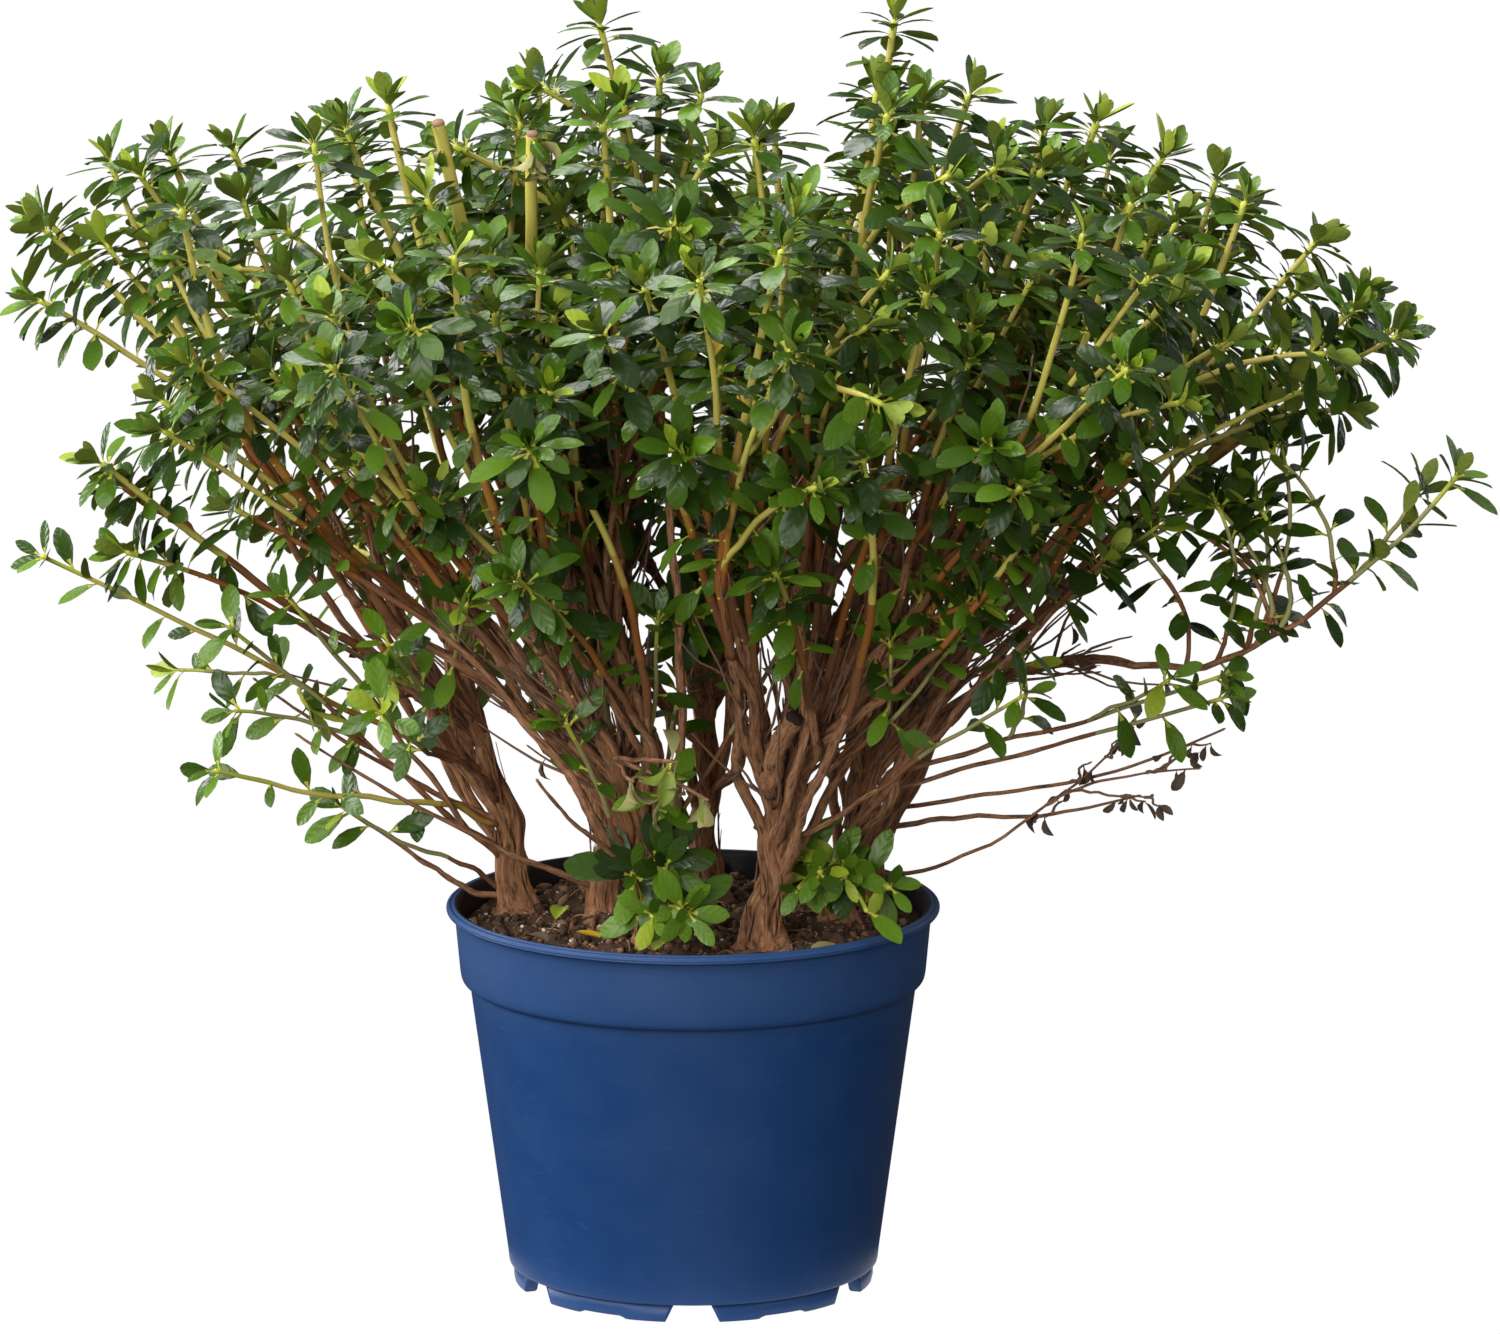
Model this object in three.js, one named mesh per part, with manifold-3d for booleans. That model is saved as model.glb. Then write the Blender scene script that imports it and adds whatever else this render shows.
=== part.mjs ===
// A potted Japanese azalea: a blue nursery pot, its soil, nine stems, their boughs and the masses of foliage.
// Millimetres, +Z up. The origin is the middle of the pot's flat underside, and -Y is the front.
import * as THREE from "three";
import { mergeVertices } from "three/addons/utils/BufferGeometryUtils.js";
import Module from "manifold-3d";

const wasm = await Module();
wasm.setup();

// Driving dimensions of the pot, a round container of about 5 litres.
const POT = {
  height: 180,
  lipRadius: 115,
  lipHeight: 4,
  collarHeight: 36,
  collarTopRadius: 111,
  collarLowRadius: 108,
  shoulderRadius: 104,
  baseRadius: 86.5,
  wall: 1.6,
  floorLevel: 8.5,
  segments: 32,
};
const FEET = { count: 6, span: 49, radius: 84, width: 6, sink: 1 };
const CENTRE_PAD = { radius: 24, segments: 16 };
const SOIL_LEVEL = 168;

// Running clearance between neighbours that touch.
const GAP = 0.3;

// The crown is a fan of shoots that spread from a point under the soil. It is less deep than wide.
const FOCUS_DEPTH = 110;
const FOCUS = new THREE.Vector3(0, 0, SOIL_LEVEL - FOCUS_DEPTH);
const CROWN_DEPTH_RATIO = 0.8;
const CROWN_REACH = 541;
const BOUGH_SHARE = 0.57;
const BARE_RADIUS = 272;

// How far the twigs of a mass spread round its middle, in degrees: on a bough, and on a shoot from a stem.
const SPREAD = { bough: 8.6, shoot: 6 };

// Stems: where each stands on the soil, its foot radius, the height of its fork and its lean,
// the share of its distance from the pot's axis that it moves outwards on the way up.
const STEMS = [
  { name: "stem_left", x: -83, y: 30, radius: 8.6, fork: 84, lean: 0.2 },
  { name: "stem_left_centre", x: -41, y: 22, radius: 8.2, fork: 92, lean: 0.12 },
  { name: "stem_front", x: -20, y: -40, radius: 7.4, fork: 74, lean: 0.45 },
  { name: "stem_centre", x: 33, y: -47, radius: 10.5, fork: 70, lean: 0.22 },
  { name: "stem_right", x: 67, y: 4, radius: 8.2, fork: 82, lean: 0.22 },
  { name: "stem_far_right", x: 80, y: 44, radius: 8.0, fork: 88, lean: 0.5 },
  { name: "stem_back", x: 6, y: 52, radius: 8.0, fork: 96, lean: 0.1 },
  { name: "stem_back_left", x: -42, y: 80, radius: 7.6, fork: 84, lean: 0.25 },
  { name: "stem_back_right", x: 42, y: 80, radius: 7.6, fork: 80, lean: 0.25 },
];
const STEM_TIP_SHARE = 0.62;
const STEM_FLARE = 1.45;
const STEM_SIDES = 6;
const STEM_STEPS = 5;
const STEM_BOUGH_SPACING = 0.13;

// The crown's rings of foliage: polar angles are from the vertical, turned about the focus.
const RINGS = [
  { name: "top", count: 1, polar: 4, turn: 180, reach: 1.03 },
  { name: "upper", count: 6, polar: 16, turn: 8, reach: 1.0 },
  { name: "outer", count: 11, polar: 30.5, turn: 15, reach: 0.985 },
];

// Shoots that leave the crown's rings. An arched bough carries the right arm; the others grow from a stem.
const SIDE_SHOOTS = [
  {
    name: "right_arm", azimuth: -2, polar: 48.5, reach: 466, stem: "stem_far_right",
    bough: { share: 0.64, polar: 41 }, lower: 4,
  },
  { name: "right_low", azimuth: -16, polar: 56, reach: 352, stem: "stem_right", at: 0.62, twigs: 4 },
  { name: "left_arm", azimuth: 186, polar: 46, reach: 424, stem: "stem_left", at: 0.8, twigs: 2, lower: 5 },
  { name: "left_low", azimuth: 196, polar: 55, reach: 318, stem: "stem_left", at: 0.5, twigs: 2, lower: 4 },
  { name: "back_arm_right", azimuth: 58, polar: 47, reach: 425, stem: "stem_back_right", at: 0.75, twigs: 3 },
  { name: "back_arm_left", azimuth: 124, polar: 47, reach: 425, stem: "stem_back_left", at: 0.75, twigs: 3 },
];

// Small leafy tufts at the foot of the plant, each on a short shoot from its stem. Sizes are from the soil.
const TUFTS = [
  { name: "tuft_front", stem: "stem_front", at: 0.3, x: -26, y: -74, height: 24, twigs: 3 },
  { name: "tuft_right", stem: "stem_right", at: 0.25, x: 76, y: -38, height: 26, twigs: 3 },
];

const TUFT_SPREAD = { across: 24, deep: 10, up: 14 };

// A dry spray that leaves the foot of the right-hand stem: a bare leader and its side twigs, which leave
// it at a share of its length and end at a share of its reach, turned up or down and to the front or back.
const DRY_SPRAY = {
  name: "dry_spray", stem: "stem_far_right", at: 0.3, azimuth: 8, polar: 54, reach: 305,
  rootRadius: 2.2, sideRadius: 1.6, tipRadius: 1.1,
  sideTwigs: [
    { at: 0.3, share: 0.93, polar: 60, azimuth: -8 },
    { at: 0.62, share: 0.95, polar: 49, azimuth: 16 },
  ],
};

const BOUGH = { baseRadius: 5.4, tipRadius: 2.9, sides: 6, steps: 4 };
const TWIGS_PER_MASS = 5;

// A twig's root swells over a short way, its tip is a bud, and the shortest ones end lower by 75 mm.
const TWIG = { rootRadius: 3.3, sideRadius: 2.6, tipRadius: 2.6, sides: 3, swell: 7, bud: 8, shortest: 75 };
const LEADER_RINGS = [0.35, 0.65];
const SIDE_TWIG_RINGS = [0.5];
const TWIG_TESTS = [0.35, 0.6, 0.8, 1];

// A leaf rises from its twig, droops at its tip, stays clear of limbs and may hang a little over the edge
// of its mass's space.
const LEAF = { length: 54, width: 23, thickness: 2.2, droop: 3, sink: 0.4, rise: 28 };
const LEAF_ROOM = { clear: 0.8, overhang: 7 };

// Leaves on a twig: a rosette near its tip, then single ones lower down. A leaf that would touch something
// is tried again, each time more upright.
const ROSETTE = { leaves: 4, below: 4.5, spacing: 1.2, wobble: 25 };
const LOWER_LEAVES = { count: 2, from: 0.8, to: 0.35 };
const LEAF_TRIES = { count: 4, lift: 13 };
const FIRST_SEED = 11;

const FINISHES = {
  pot: { color: 0x28477f, roughness: 0.45 },
  soil: { color: 0x3a2a1e, roughness: 0.95 },
  bark: { color: 0x5c3d2c, roughness: 0.9 },
  dryBark: { color: 0x4a3a30, roughness: 0.95 },
  leaf: { color: 0x3d6b26, roughness: 0.5 },
};

const GOLDEN_TURN = Math.PI * (3 - Math.sqrt(5));
const UP = new THREE.Vector3(0, 0, 1);
const radians = THREE.MathUtils.degToRad;

// A seeded stream of numbers from 0 to 1, so that every run grows the same plant.
function seededNumbers(seed) {
  let state = seed >>> 0;
  return () => {
    state = (state + 0x6d2b79f5) >>> 0;
    let mixed = Math.imul(state ^ (state >>> 15), 1 | state);
    mixed = (mixed + Math.imul(mixed ^ (mixed >>> 7), 61 | mixed)) ^ mixed;
    return ((mixed ^ (mixed >>> 14)) >>> 0) / 4294967296;
  };
}

// A three.js geometry as a solid that can be joined and cut.
function solidFrom(geometry) {
  const bare = geometry.clone();
  bare.deleteAttribute("normal");
  bare.deleteAttribute("uv");
  const merged = mergeVertices(bare, 1e-4);
  const solid = new wasm.Manifold(
    new wasm.Mesh({
      numProp: 3,
      vertProperties: merged.attributes.position.array,
      triVerts: new Uint32Array(merged.index.array),
    }),
  );
  if (solid.volume() < 0) throw new Error("a geometry faces inwards");
  return solid;
}

// A solid as a three.js geometry.
function geometryFrom(solid) {
  const mesh = solid.getMesh();
  const geometry = new THREE.BufferGeometry();
  geometry.setAttribute("position", new THREE.BufferAttribute(mesh.vertProperties, 3));
  geometry.setIndex(new THREE.BufferAttribute(mesh.triVerts, 1));
  geometry.computeVertexNormals();
  return geometry;
}

// Joins solids and keeps the one body they make: sealed hollows are filled and loose scraps dropped.
function fuse(solids) {
  const joined = solids.reduce((sum, solid) => sum.add(solid));
  return joined.decompose().reduce((most, body) => (body.volume() > most.volume() ? body : most));
}

// A lathe's outline [radius, height] as a solid of revolution about +Z.
function turned(outline, segments) {
  const profile = outline.map(([radius, height]) => new THREE.Vector2(radius, height));
  return solidFrom(new THREE.LatheGeometry(profile, segments).rotateX(Math.PI / 2));
}

// A point along a limb's curve and the way the curve runs there.
function along(limb, share) {
  return { point: limb.curve.getPoint(share), way: limb.curve.getTangent(share) };
}

// A limb with its frames, one for each ring: a ring's centre, radius and directions. The rings are shares
// of the limb's length, and the spine is the straight pieces between them.
function framed(limb) {
  let normal = new THREE.Vector3(1, 0, 0);
  const frames = limb.rings.map((share, i) => {
    const { point, way: tangent } = along(limb, share);
    const way = limb.flatFoot && i === 0 ? UP.clone() : tangent;
    normal = normal.clone().addScaledVector(way, -normal.dot(way)).normalize();
    return { point, way, normal, side: way.clone().cross(normal), radius: limb.radiusAt(share) };
  });
  const spine = frames.slice(1).map((frame, i) => ({
    line: new THREE.Line3(frames[i].point, frame.point),
    radius: frames[i].radius,
  }));
  return { ...limb, frames, spine };
}

// A tapering limb: a lathe of its taper bent through its frames. An end is cut flat unless it is pointed.
// grow makes the limb fatter and longer.
function limbSolid(limb, grow = 0) {
  const last = limb.frames.length - 1;
  const profile = limb.frames.map((_, i) => new THREE.Vector2(1, i));
  if (limb.pointedRoot) profile[0].x = 0;
  else profile.unshift(new THREE.Vector2(0, 0));
  if (limb.pointedTip) profile.at(-1).x = 0;
  else profile.push(new THREE.Vector2(0, last));
  const geometry = new THREE.LatheGeometry(profile, limb.sides);
  const positions = geometry.attributes.position;
  for (let v = 0; v < positions.count; v++) {
    const ring = Math.round(positions.getY(v));
    const { point, way, normal, side, radius } = limb.frames[ring];
    const lengthen = ring === 0 ? -grow : ring === last ? grow : 0;
    const bent = point
      .clone()
      .addScaledVector(way, lengthen)
      .addScaledVector(side, positions.getX(v) * (radius + grow))
      .addScaledVector(normal, positions.getZ(v) * (radius + grow));
    positions.setXYZ(v, bent.x, bent.y, bent.z);
  }
  return solidFrom(geometry);
}

// Evenly spaced rings for a limb of some steps.
function evenRings(steps) {
  return Array.from({ length: steps + 1 }, (_, i) => i / steps);
}

// A straight taper from one radius to another.
function taper(from, to) {
  return (share) => THREE.MathUtils.lerp(from, to, share);
}

// The way from the focus at an angle from the vertical and a compass turn, squeezed to the crown's depth.
function heading(polar, azimuth) {
  const spread = Math.sin(radians(polar));
  return new THREE.Vector3(
    spread * Math.cos(radians(azimuth)),
    spread * Math.sin(radians(azimuth)) * CROWN_DEPTH_RATIO,
    Math.cos(radians(polar)),
  );
}

// A point relative to the focus with the crown's squeeze undone, so that its length is its reach.
function unsqueezed(point) {
  const from = point.clone().sub(FOCUS);
  from.y /= CROWN_DEPTH_RATIO;
  return from;
}

// The pot: a turned shell with a collar and a lip, on six feet and a centre pad.
function makePot() {
  const p = POT;
  const shoulder = p.height - p.collarHeight;
  const shell = turned(
    [
      [0, p.floorLevel],
      [p.baseRadius - 1, p.floorLevel],
      [p.baseRadius, p.floorLevel + 1],
      [p.shoulderRadius, shoulder],
      [p.collarLowRadius, shoulder + 2],
      [p.collarTopRadius, p.height - p.lipHeight],
      [p.lipRadius - 0.8, p.height - p.lipHeight],
      [p.lipRadius, p.height - p.lipHeight / 2],
      [p.lipRadius - 1.5, p.height],
      [p.collarTopRadius - p.wall, p.height],
      [p.collarLowRadius - p.wall, shoulder + 2 + p.wall],
      [p.shoulderRadius - p.wall, shoulder - p.wall],
      [p.baseRadius - p.wall, p.floorLevel + p.wall],
      [0, p.floorLevel + p.wall],
    ],
    p.segments,
  );
  const pad = turned(
    [
      [0, 0],
      [CENTRE_PAD.radius, 0],
      [CENTRE_PAD.radius, p.floorLevel + FEET.sink],
      [0, p.floorLevel + FEET.sink],
    ],
    CENTRE_PAD.segments,
  );
  const feet = Array.from({ length: FEET.count }, (_, i) => makeFoot((360 / FEET.count) * (i + 0.5) - 90));
  return fuse([shell, pad, ...feet]);
}

// One foot: an arc of a ring, sunk a little into the pot's floor.
function makeFoot(turn) {
  const arc = new THREE.Shape();
  const from = radians(turn - FEET.span / 2);
  const to = radians(turn + FEET.span / 2);
  arc.absarc(0, 0, FEET.radius, from, to, false);
  arc.absarc(0, 0, FEET.radius - FEET.width, to, from, true);
  arc.closePath();
  const depth = POT.floorLevel + FEET.sink;
  return solidFrom(new THREE.ExtrudeGeometry(arc, { depth, bevelEnabled: false, curveSegments: 5 }));
}

// The soil fills the pot to its level, clear of the wall.
function makeSoil() {
  const floor = POT.floorLevel + POT.wall + GAP;
  const shoulder = POT.height - POT.collarHeight;
  const inner = POT.wall + 2 * GAP;
  const riseShare = (SOIL_LEVEL - shoulder) / POT.collarHeight;
  return turned(
    [
      [0, floor],
      [POT.baseRadius - inner - GAP, floor],
      [POT.shoulderRadius - inner - GAP, shoulder - POT.wall],
      [POT.collarLowRadius - inner - GAP, shoulder + 2 + POT.wall],
      [THREE.MathUtils.lerp(POT.collarLowRadius, POT.collarTopRadius, riseShare) - inner - GAP, SOIL_LEVEL],
      [0, SOIL_LEVEL],
    ],
    POT.segments,
  );
}

// A stem: upright at its foot, then leaning outwards to its fork, with a flared foot cut flat on the soil.
function makeStem(stem) {
  const foot = new THREE.Vector3(stem.x, stem.y, SOIL_LEVEL + GAP);
  const outwards = new THREE.Vector3(stem.x, stem.y, 0).multiplyScalar(stem.lean);
  const tip = foot.clone().add(outwards).setZ(SOIL_LEVEL + stem.fork);
  const bend = foot.clone().addScaledVector(outwards, 0.15).setZ(SOIL_LEVEL + stem.fork * 0.5);
  const tipRadius = stem.radius * STEM_TIP_SHARE;
  const radiusAt = (share) => {
    const flare = 1 + (STEM_FLARE - 1) * Math.pow(1 - share, 6);
    return THREE.MathUtils.lerp(stem.radius, tipRadius, share) * flare;
  };
  return framed({
    ...stem,
    curve: new THREE.QuadraticBezierCurve3(foot, bend, tip),
    radiusAt,
    sides: STEM_SIDES,
    rings: evenRings(STEM_STEPS),
    flatFoot: true,
  });
}

// The crown's masses: one row for each, with the way it points and how far its leaf tips reach.
function crownMasses() {
  const ringed = RINGS.flatMap((ring) =>
    Array.from({ length: ring.count }, (_, i) => ({
      name: ring.count > 1 ? `${ring.name}_${i + 1}` : ring.name,
      polar: ring.polar,
      azimuth: ring.turn + (360 / ring.count) * i,
      reach: CROWN_REACH * ring.reach,
      bough: { share: BOUGH_SHARE, polar: ring.polar },
    })),
  );
  return [...ringed, ...SIDE_SHOOTS].map((mass) => ({
    twigs: TWIGS_PER_MASS,
    lower: LOWER_LEAVES.count,
    ...mass,
    way: heading(mass.polar, mass.azimuth),
  }));
}

// The stem whose fork lies nearest to the line from the focus to a mass.
function nearestStem(mass, stems) {
  if (mass.stem) return stems.find((stem) => stem.name === mass.stem);
  const missBy = (stem) => {
    const fork = stem.curve.getPoint(1);
    const level = (fork.z - FOCUS.z) / mass.way.z;
    return FOCUS.clone().addScaledVector(mass.way, level).distanceTo(fork);
  };
  return stems.reduce((best, stem) => (missBy(stem) < missBy(best) ? stem : best));
}

// A bough: leaves its stem below the fork, swings outwards and turns up into its mass.
function makeBough(mass, stem, rank) {
  const share = 1 - STEM_BOUGH_SPACING * rank;
  const start = along(stem, share);
  const tipWay = heading(mass.bough.polar, mass.azimuth);
  const tip = FOCUS.clone().addScaledVector(tipWay, mass.reach * mass.bough.share);
  const length = tip.distanceTo(start.point);
  const straight = tip.clone().sub(start.point).normalize();
  const leaving = start.way.clone().add(straight).normalize();
  const bend = start.point.clone().addScaledVector(leaving, length * 0.5);
  const baseRadius = Math.min(BOUGH.baseRadius, stem.radiusAt(share) - 0.4);
  return framed({
    name: `bough_${mass.name}`,
    curve: new THREE.QuadraticBezierCurve3(start.point, bend, tip),
    radiusAt: taper(baseRadius, BOUGH.tipRadius),
    sides: BOUGH.sides,
    rings: evenRings(BOUGH.steps),
  });
}

// The shortest distance from a point to a limb's bark.
function clearance(point, limb) {
  const nearest = new THREE.Vector3();
  let least = Infinity;
  for (let i = 0; i < limb.spine.length; i++) {
    const { line, radius } = limb.spine[i];
    line.closestPointToPoint(point, true, nearest);
    least = Math.min(least, nearest.distanceTo(point) - radius);
  }
  return least;
}

// Whether a point keeps to a mass's own space: nearer its way than any other's, and within its reach.
function keepsTo(space, point, margin) {
  const from = unsqueezed(point);
  const reached = from.length();
  if (reached > space.reach) return false;
  if (reached < BARE_RADIUS) return !space.bough;
  const own = space.unit;
  return space.others
    .filter((other) => other.reach > reached)
    .every(({ unit }) => from.dot(own) - from.dot(unit) > margin * own.distanceTo(unit));
}

// Whether a point is over the soil and inside the pot's wall, or over its lip.
function clearOfPot(point, margin) {
  if (point.z > POT.height + margin) return true;
  const inner = POT.collarLowRadius - POT.wall - margin;
  return point.z > SOIL_LEVEL + margin && Math.hypot(point.x, point.y) < inner;
}

// A twig from a point on its parent to the place its rosette stands at, turning upwards as it grows.
// Its root is pointed where it is sunk in its parent, and its tip is a bud.
function makeTwig(start, leaving, end, radii, middles, pointedRoot) {
  const length = start.distanceTo(end);
  const bend = start.clone().addScaledVector(leaving, length * 0.5);
  const swell = pointedRoot ? [TWIG.swell / length] : [];
  return framed({
    curve: new THREE.QuadraticBezierCurve3(start, bend, end),
    radiusAt: taper(...radii),
    sides: TWIG.sides,
    rings: [0, ...swell, ...middles, 1 - TWIG.bud / length, 1],
    pointedRoot,
    pointedTip: true,
  });
}

// A point on a limb's straight pieces, with the way they run there and the way its first edge faces.
function onSpine(limb, share) {
  const piece = Math.max(0, limb.rings.findIndex((ring) => ring >= share) - 1);
  const [from, to] = [limb.rings[piece], limb.rings[piece + 1]];
  const { line } = limb.spine[piece];
  const point = line.at((share - from) / (to - from), new THREE.Vector3());
  const way = line.delta(new THREE.Vector3()).normalize();
  const { normal } = limb.frames[piece];
  const edge = normal.clone().addScaledVector(way, -normal.dot(way)).normalize();
  return { point, way, edge };
}

// The corners of a leaf, a thin blade with a ridge, from a point in its twig. Three faces meet at its root.
function leafCorners(root, way, side, size) {
  const face = way.clone().cross(side);
  const place = (forward, across, up) =>
    root.clone().addScaledVector(way, forward).addScaledVector(side, across).addScaledVector(face, up);
  const half = size.width / 2;
  return {
    root: place(0, 0, 0),
    ridge: place(size.length * 0.45, 0, size.thickness),
    left: place(size.length * 0.38, half * 0.86, 0),
    right: place(size.length * 0.38, -half * 0.86, 0),
    upLeft: place(size.length * 0.74, half, -1),
    upRight: place(size.length * 0.74, -half, -1),
    tip: place(size.length, 0, -size.droop),
  };
}
const LEAF_CORNERS = ["root", "ridge", "left", "right", "upLeft", "upRight", "tip"];
const LEAF_FACES = [
  [0, 1, 2], [0, 3, 1], [2, 1, 4], [1, 6, 4], [1, 3, 5], [1, 5, 6],
  [0, 2, 3], [2, 4, 5], [2, 5, 3], [4, 6, 5],
];

// A leaf's corners as a solid.
function leafSolid(corners) {
  const geometry = new THREE.BufferGeometry().setFromPoints(LEAF_CORNERS.map((name) => corners[name]));
  geometry.setIndex(LEAF_FACES.flat());
  return solidFrom(geometry);
}

// Points spread over a leaf, to test what it would touch.
function leafSamples(corners) {
  const { root, left, right, upLeft, upRight, tip } = corners;
  const middle = root.clone().lerp(tip, 0.5);
  const inner = root.clone().lerp(tip, 0.25);
  const outer = root.clone().lerp(tip, 0.75);
  const rims = [left, right, upLeft, upRight];
  const halves = rims.map((rim) => rim.clone().lerp(middle, 0.5));
  return [inner, middle, outer, tip, ...rims, ...halves];
}

// The places of the leaves on a twig. Each leaf leaves the middle of one of the twig's faces, give or take.
function leafPlaces(twig, lowerCount, firstFace) {
  const length = twig.curve.getLength();
  const turnOf = (i) => {
    const faceMiddle = ((2 * (firstFace + i) + 1) * Math.PI) / TWIG.sides;
    return faceMiddle - radians(ROSETTE.wobble) * Math.cos((Math.PI * i) / 3);
  };
  const places = [];
  for (let i = 0; i < ROSETTE.leaves; i++) {
    const below = (ROSETTE.below + ROSETTE.spacing * i) / length;
    places.push({ share: twig.rings.at(-2) - below, turn: turnOf(i) });
  }
  for (let i = 0; i < lowerCount; i++) {
    const share = THREE.MathUtils.lerp(LOWER_LEAVES.from, LOWER_LEAVES.to, i / lowerCount);
    places.push({ share, turn: turnOf(ROSETTE.leaves + i) });
  }
  return places;
}

// A leaf's corners at a place on a twig: it spreads from the twig and rises a little along it.
function leafOn(twig, share, turn, rise, length) {
  const at = onSpine(twig, share);
  const out = at.edge.applyAxisAngle(at.way, -turn);
  const way = out.clone().multiplyScalar(Math.cos(rise)).addScaledVector(at.way, Math.sin(rise)).normalize();
  const side = at.way.clone().cross(out).normalize();
  return leafCorners(at.point.addScaledVector(way, -LEAF.sink), way, side, { ...LEAF, length });
}

// How far a twig's bud stays below the reach of its leaf tips.
const BUD_DROP = LEAF.length * Math.sin(radians(LEAF.rise)) - TWIG.bud - ROSETTE.below - LEAF.droop;

// The leader of a mass, from its root to its middle rosette.
function makeLeader(mass) {
  const { root } = mass;
  const end = mass.target(0, 0, BUD_DROP);
  return makeTwig(root.point, root.way, end, [root.radius, TWIG.tipRadius], LEADER_RINGS, false);
}

// A side twig of a mass: it leaves the leader low down and ends at its own place in the mass's space.
function makeSideTwig(mass, leader, rank, random) {
  const start = onSpine(leader, 0.06 + (0.4 * (rank - 1)) / mass.twigs);
  const turn = rank * GOLDEN_TURN + random();
  const drop = BUD_DROP + TWIG.shortest * random() ** 1.5;
  const end = mass.target(Math.sqrt((rank + 0.4) / mass.twigs), turn, drop);
  const straight = end.clone().sub(start.point).normalize();
  const leaving = straight.multiplyScalar(1.3).add(start.way).normalize();
  return makeTwig(start.point, leaving, end, [TWIG.sideRadius, TWIG.tipRadius], SIDE_TWIG_RINGS, true);
}

// A solid with its box, for a quick look at what it might touch.
function boxed(solid) {
  const { min, max } = solid.boundingBox();
  return { solid, box: new THREE.Box3(new THREE.Vector3(...min), new THREE.Vector3(...max)) };
}

// Whether a solid overlaps any of a list of others.
function crosses(one, others) {
  const touching = others.filter((other) => one.box.intersectsBox(other.box));
  return touching.some((other) => !one.solid.intersect(other.solid).isEmpty());
}

// A mass of foliage: a leader from one stem, twigs that branch from it, and leaves fused on in rosettes.
// A twig or leaf that would leave the mass's space, or touch a limb or other foliage, is left out.
function growMass(mass, leader, limbs, neighbours, seed) {
  const random = seededNumbers(seed);
  const fits = (point, margin, overhang) =>
    keepsTo(mass.space, point, -overhang) &&
    clearOfPot(point, margin + 1) &&
    limbs.every((limb) => clearance(point, limb) > margin);
  const leafFits = (point) => fits(point, LEAF_ROOM.clear, LEAF_ROOM.overhang);

  const twigs = [{ limb: leader, ...boxed(limbSolid(leader)) }];
  for (let rank = 1; rank < mass.twigs; rank++) {
    const limb = makeSideTwig(mass, leader, rank, random);
    const twig = { limb, ...boxed(limbSolid(limb)) };
    const inSpace = TWIG_TESTS.every((share) => fits(limb.curve.getPoint(share), TWIG.sideRadius, 0));
    if (inSpace && !crosses(twig, neighbours)) twigs.push(twig);
  }

  const leaves = [];
  for (const twig of twigs) {
    const obstacles = [...neighbours, ...leaves, ...twigs.filter((other) => other !== twig)];
    for (const { share, turn } of leafPlaces(twig.limb, mass.lower, Math.floor(TWIG.sides * random()))) {
      const rise = radians(LEAF.rise + 14 * (random() - 0.5));
      const length = LEAF.length * (0.82 + 0.18 * random());
      for (let attempt = 0; attempt < LEAF_TRIES.count; attempt++) {
        const corners = leafOn(twig.limb, share, turn, rise + radians(LEAF_TRIES.lift) * attempt, length);
        if (!leafSamples(corners).every(leafFits)) continue;
        const leaf = boxed(leafSolid(corners));
        if (crosses(leaf, obstacles)) continue;
        leaves.push(leaf);
        obstacles.push(leaf);
        break;
      }
    }
  }
  return fuse([...twigs, ...leaves].map((piece) => piece.solid));
}

// The place of a rosette in a mass: a share of the way to the space's edge, at a turn round its middle.
function rosettePlacer(way, reach, spread) {
  const middle = unsqueezed(FOCUS.clone().add(way)).normalize();
  const east = new THREE.Vector3(-middle.y, middle.x, 0).normalize();
  const north = middle.clone().cross(east);
  return (share, turn, drop) => {
    const tilt = Math.tan(radians(spread * share));
    const aim = middle
      .clone()
      .addScaledVector(east, tilt * Math.cos(turn))
      .addScaledVector(north, tilt * Math.sin(turn))
      .normalize()
      .multiplyScalar(reach - drop);
    aim.y *= CROWN_DEPTH_RATIO;
    return FOCUS.clone().add(aim);
  };
}

// A tuft at the foot: its rosettes stand round a point just over the soil.
function tuftPlacer(tuft) {
  const middle = new THREE.Vector3(tuft.x, tuft.y, SOIL_LEVEL + tuft.height);
  const { across, deep, up } = TUFT_SPREAD;
  return (share, turn) => {
    const shift = new THREE.Vector3(across * Math.cos(turn), deep * Math.sin(turn), up);
    return middle.clone().addScaledVector(shift, share);
  };
}

// The root of a shoot on a stem: a little under the bark, at a share of the stem's height.
function rootOnStem(stem, at, towards, radius) {
  const start = along(stem, at);
  const way = towards.clone().sub(start.point).normalize();
  const out = way.clone().setZ(0).normalize();
  return { point: start.point.addScaledVector(out, stem.radiusAt(at) * 0.6), way, radius };
}

// A shoot that is rooted under a stem's bark, cut back to just clear of it.
function clearOfStem(shoot, stem) {
  return fuse([shoot.subtract(limbSolid(stem, GAP))]);
}

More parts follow.
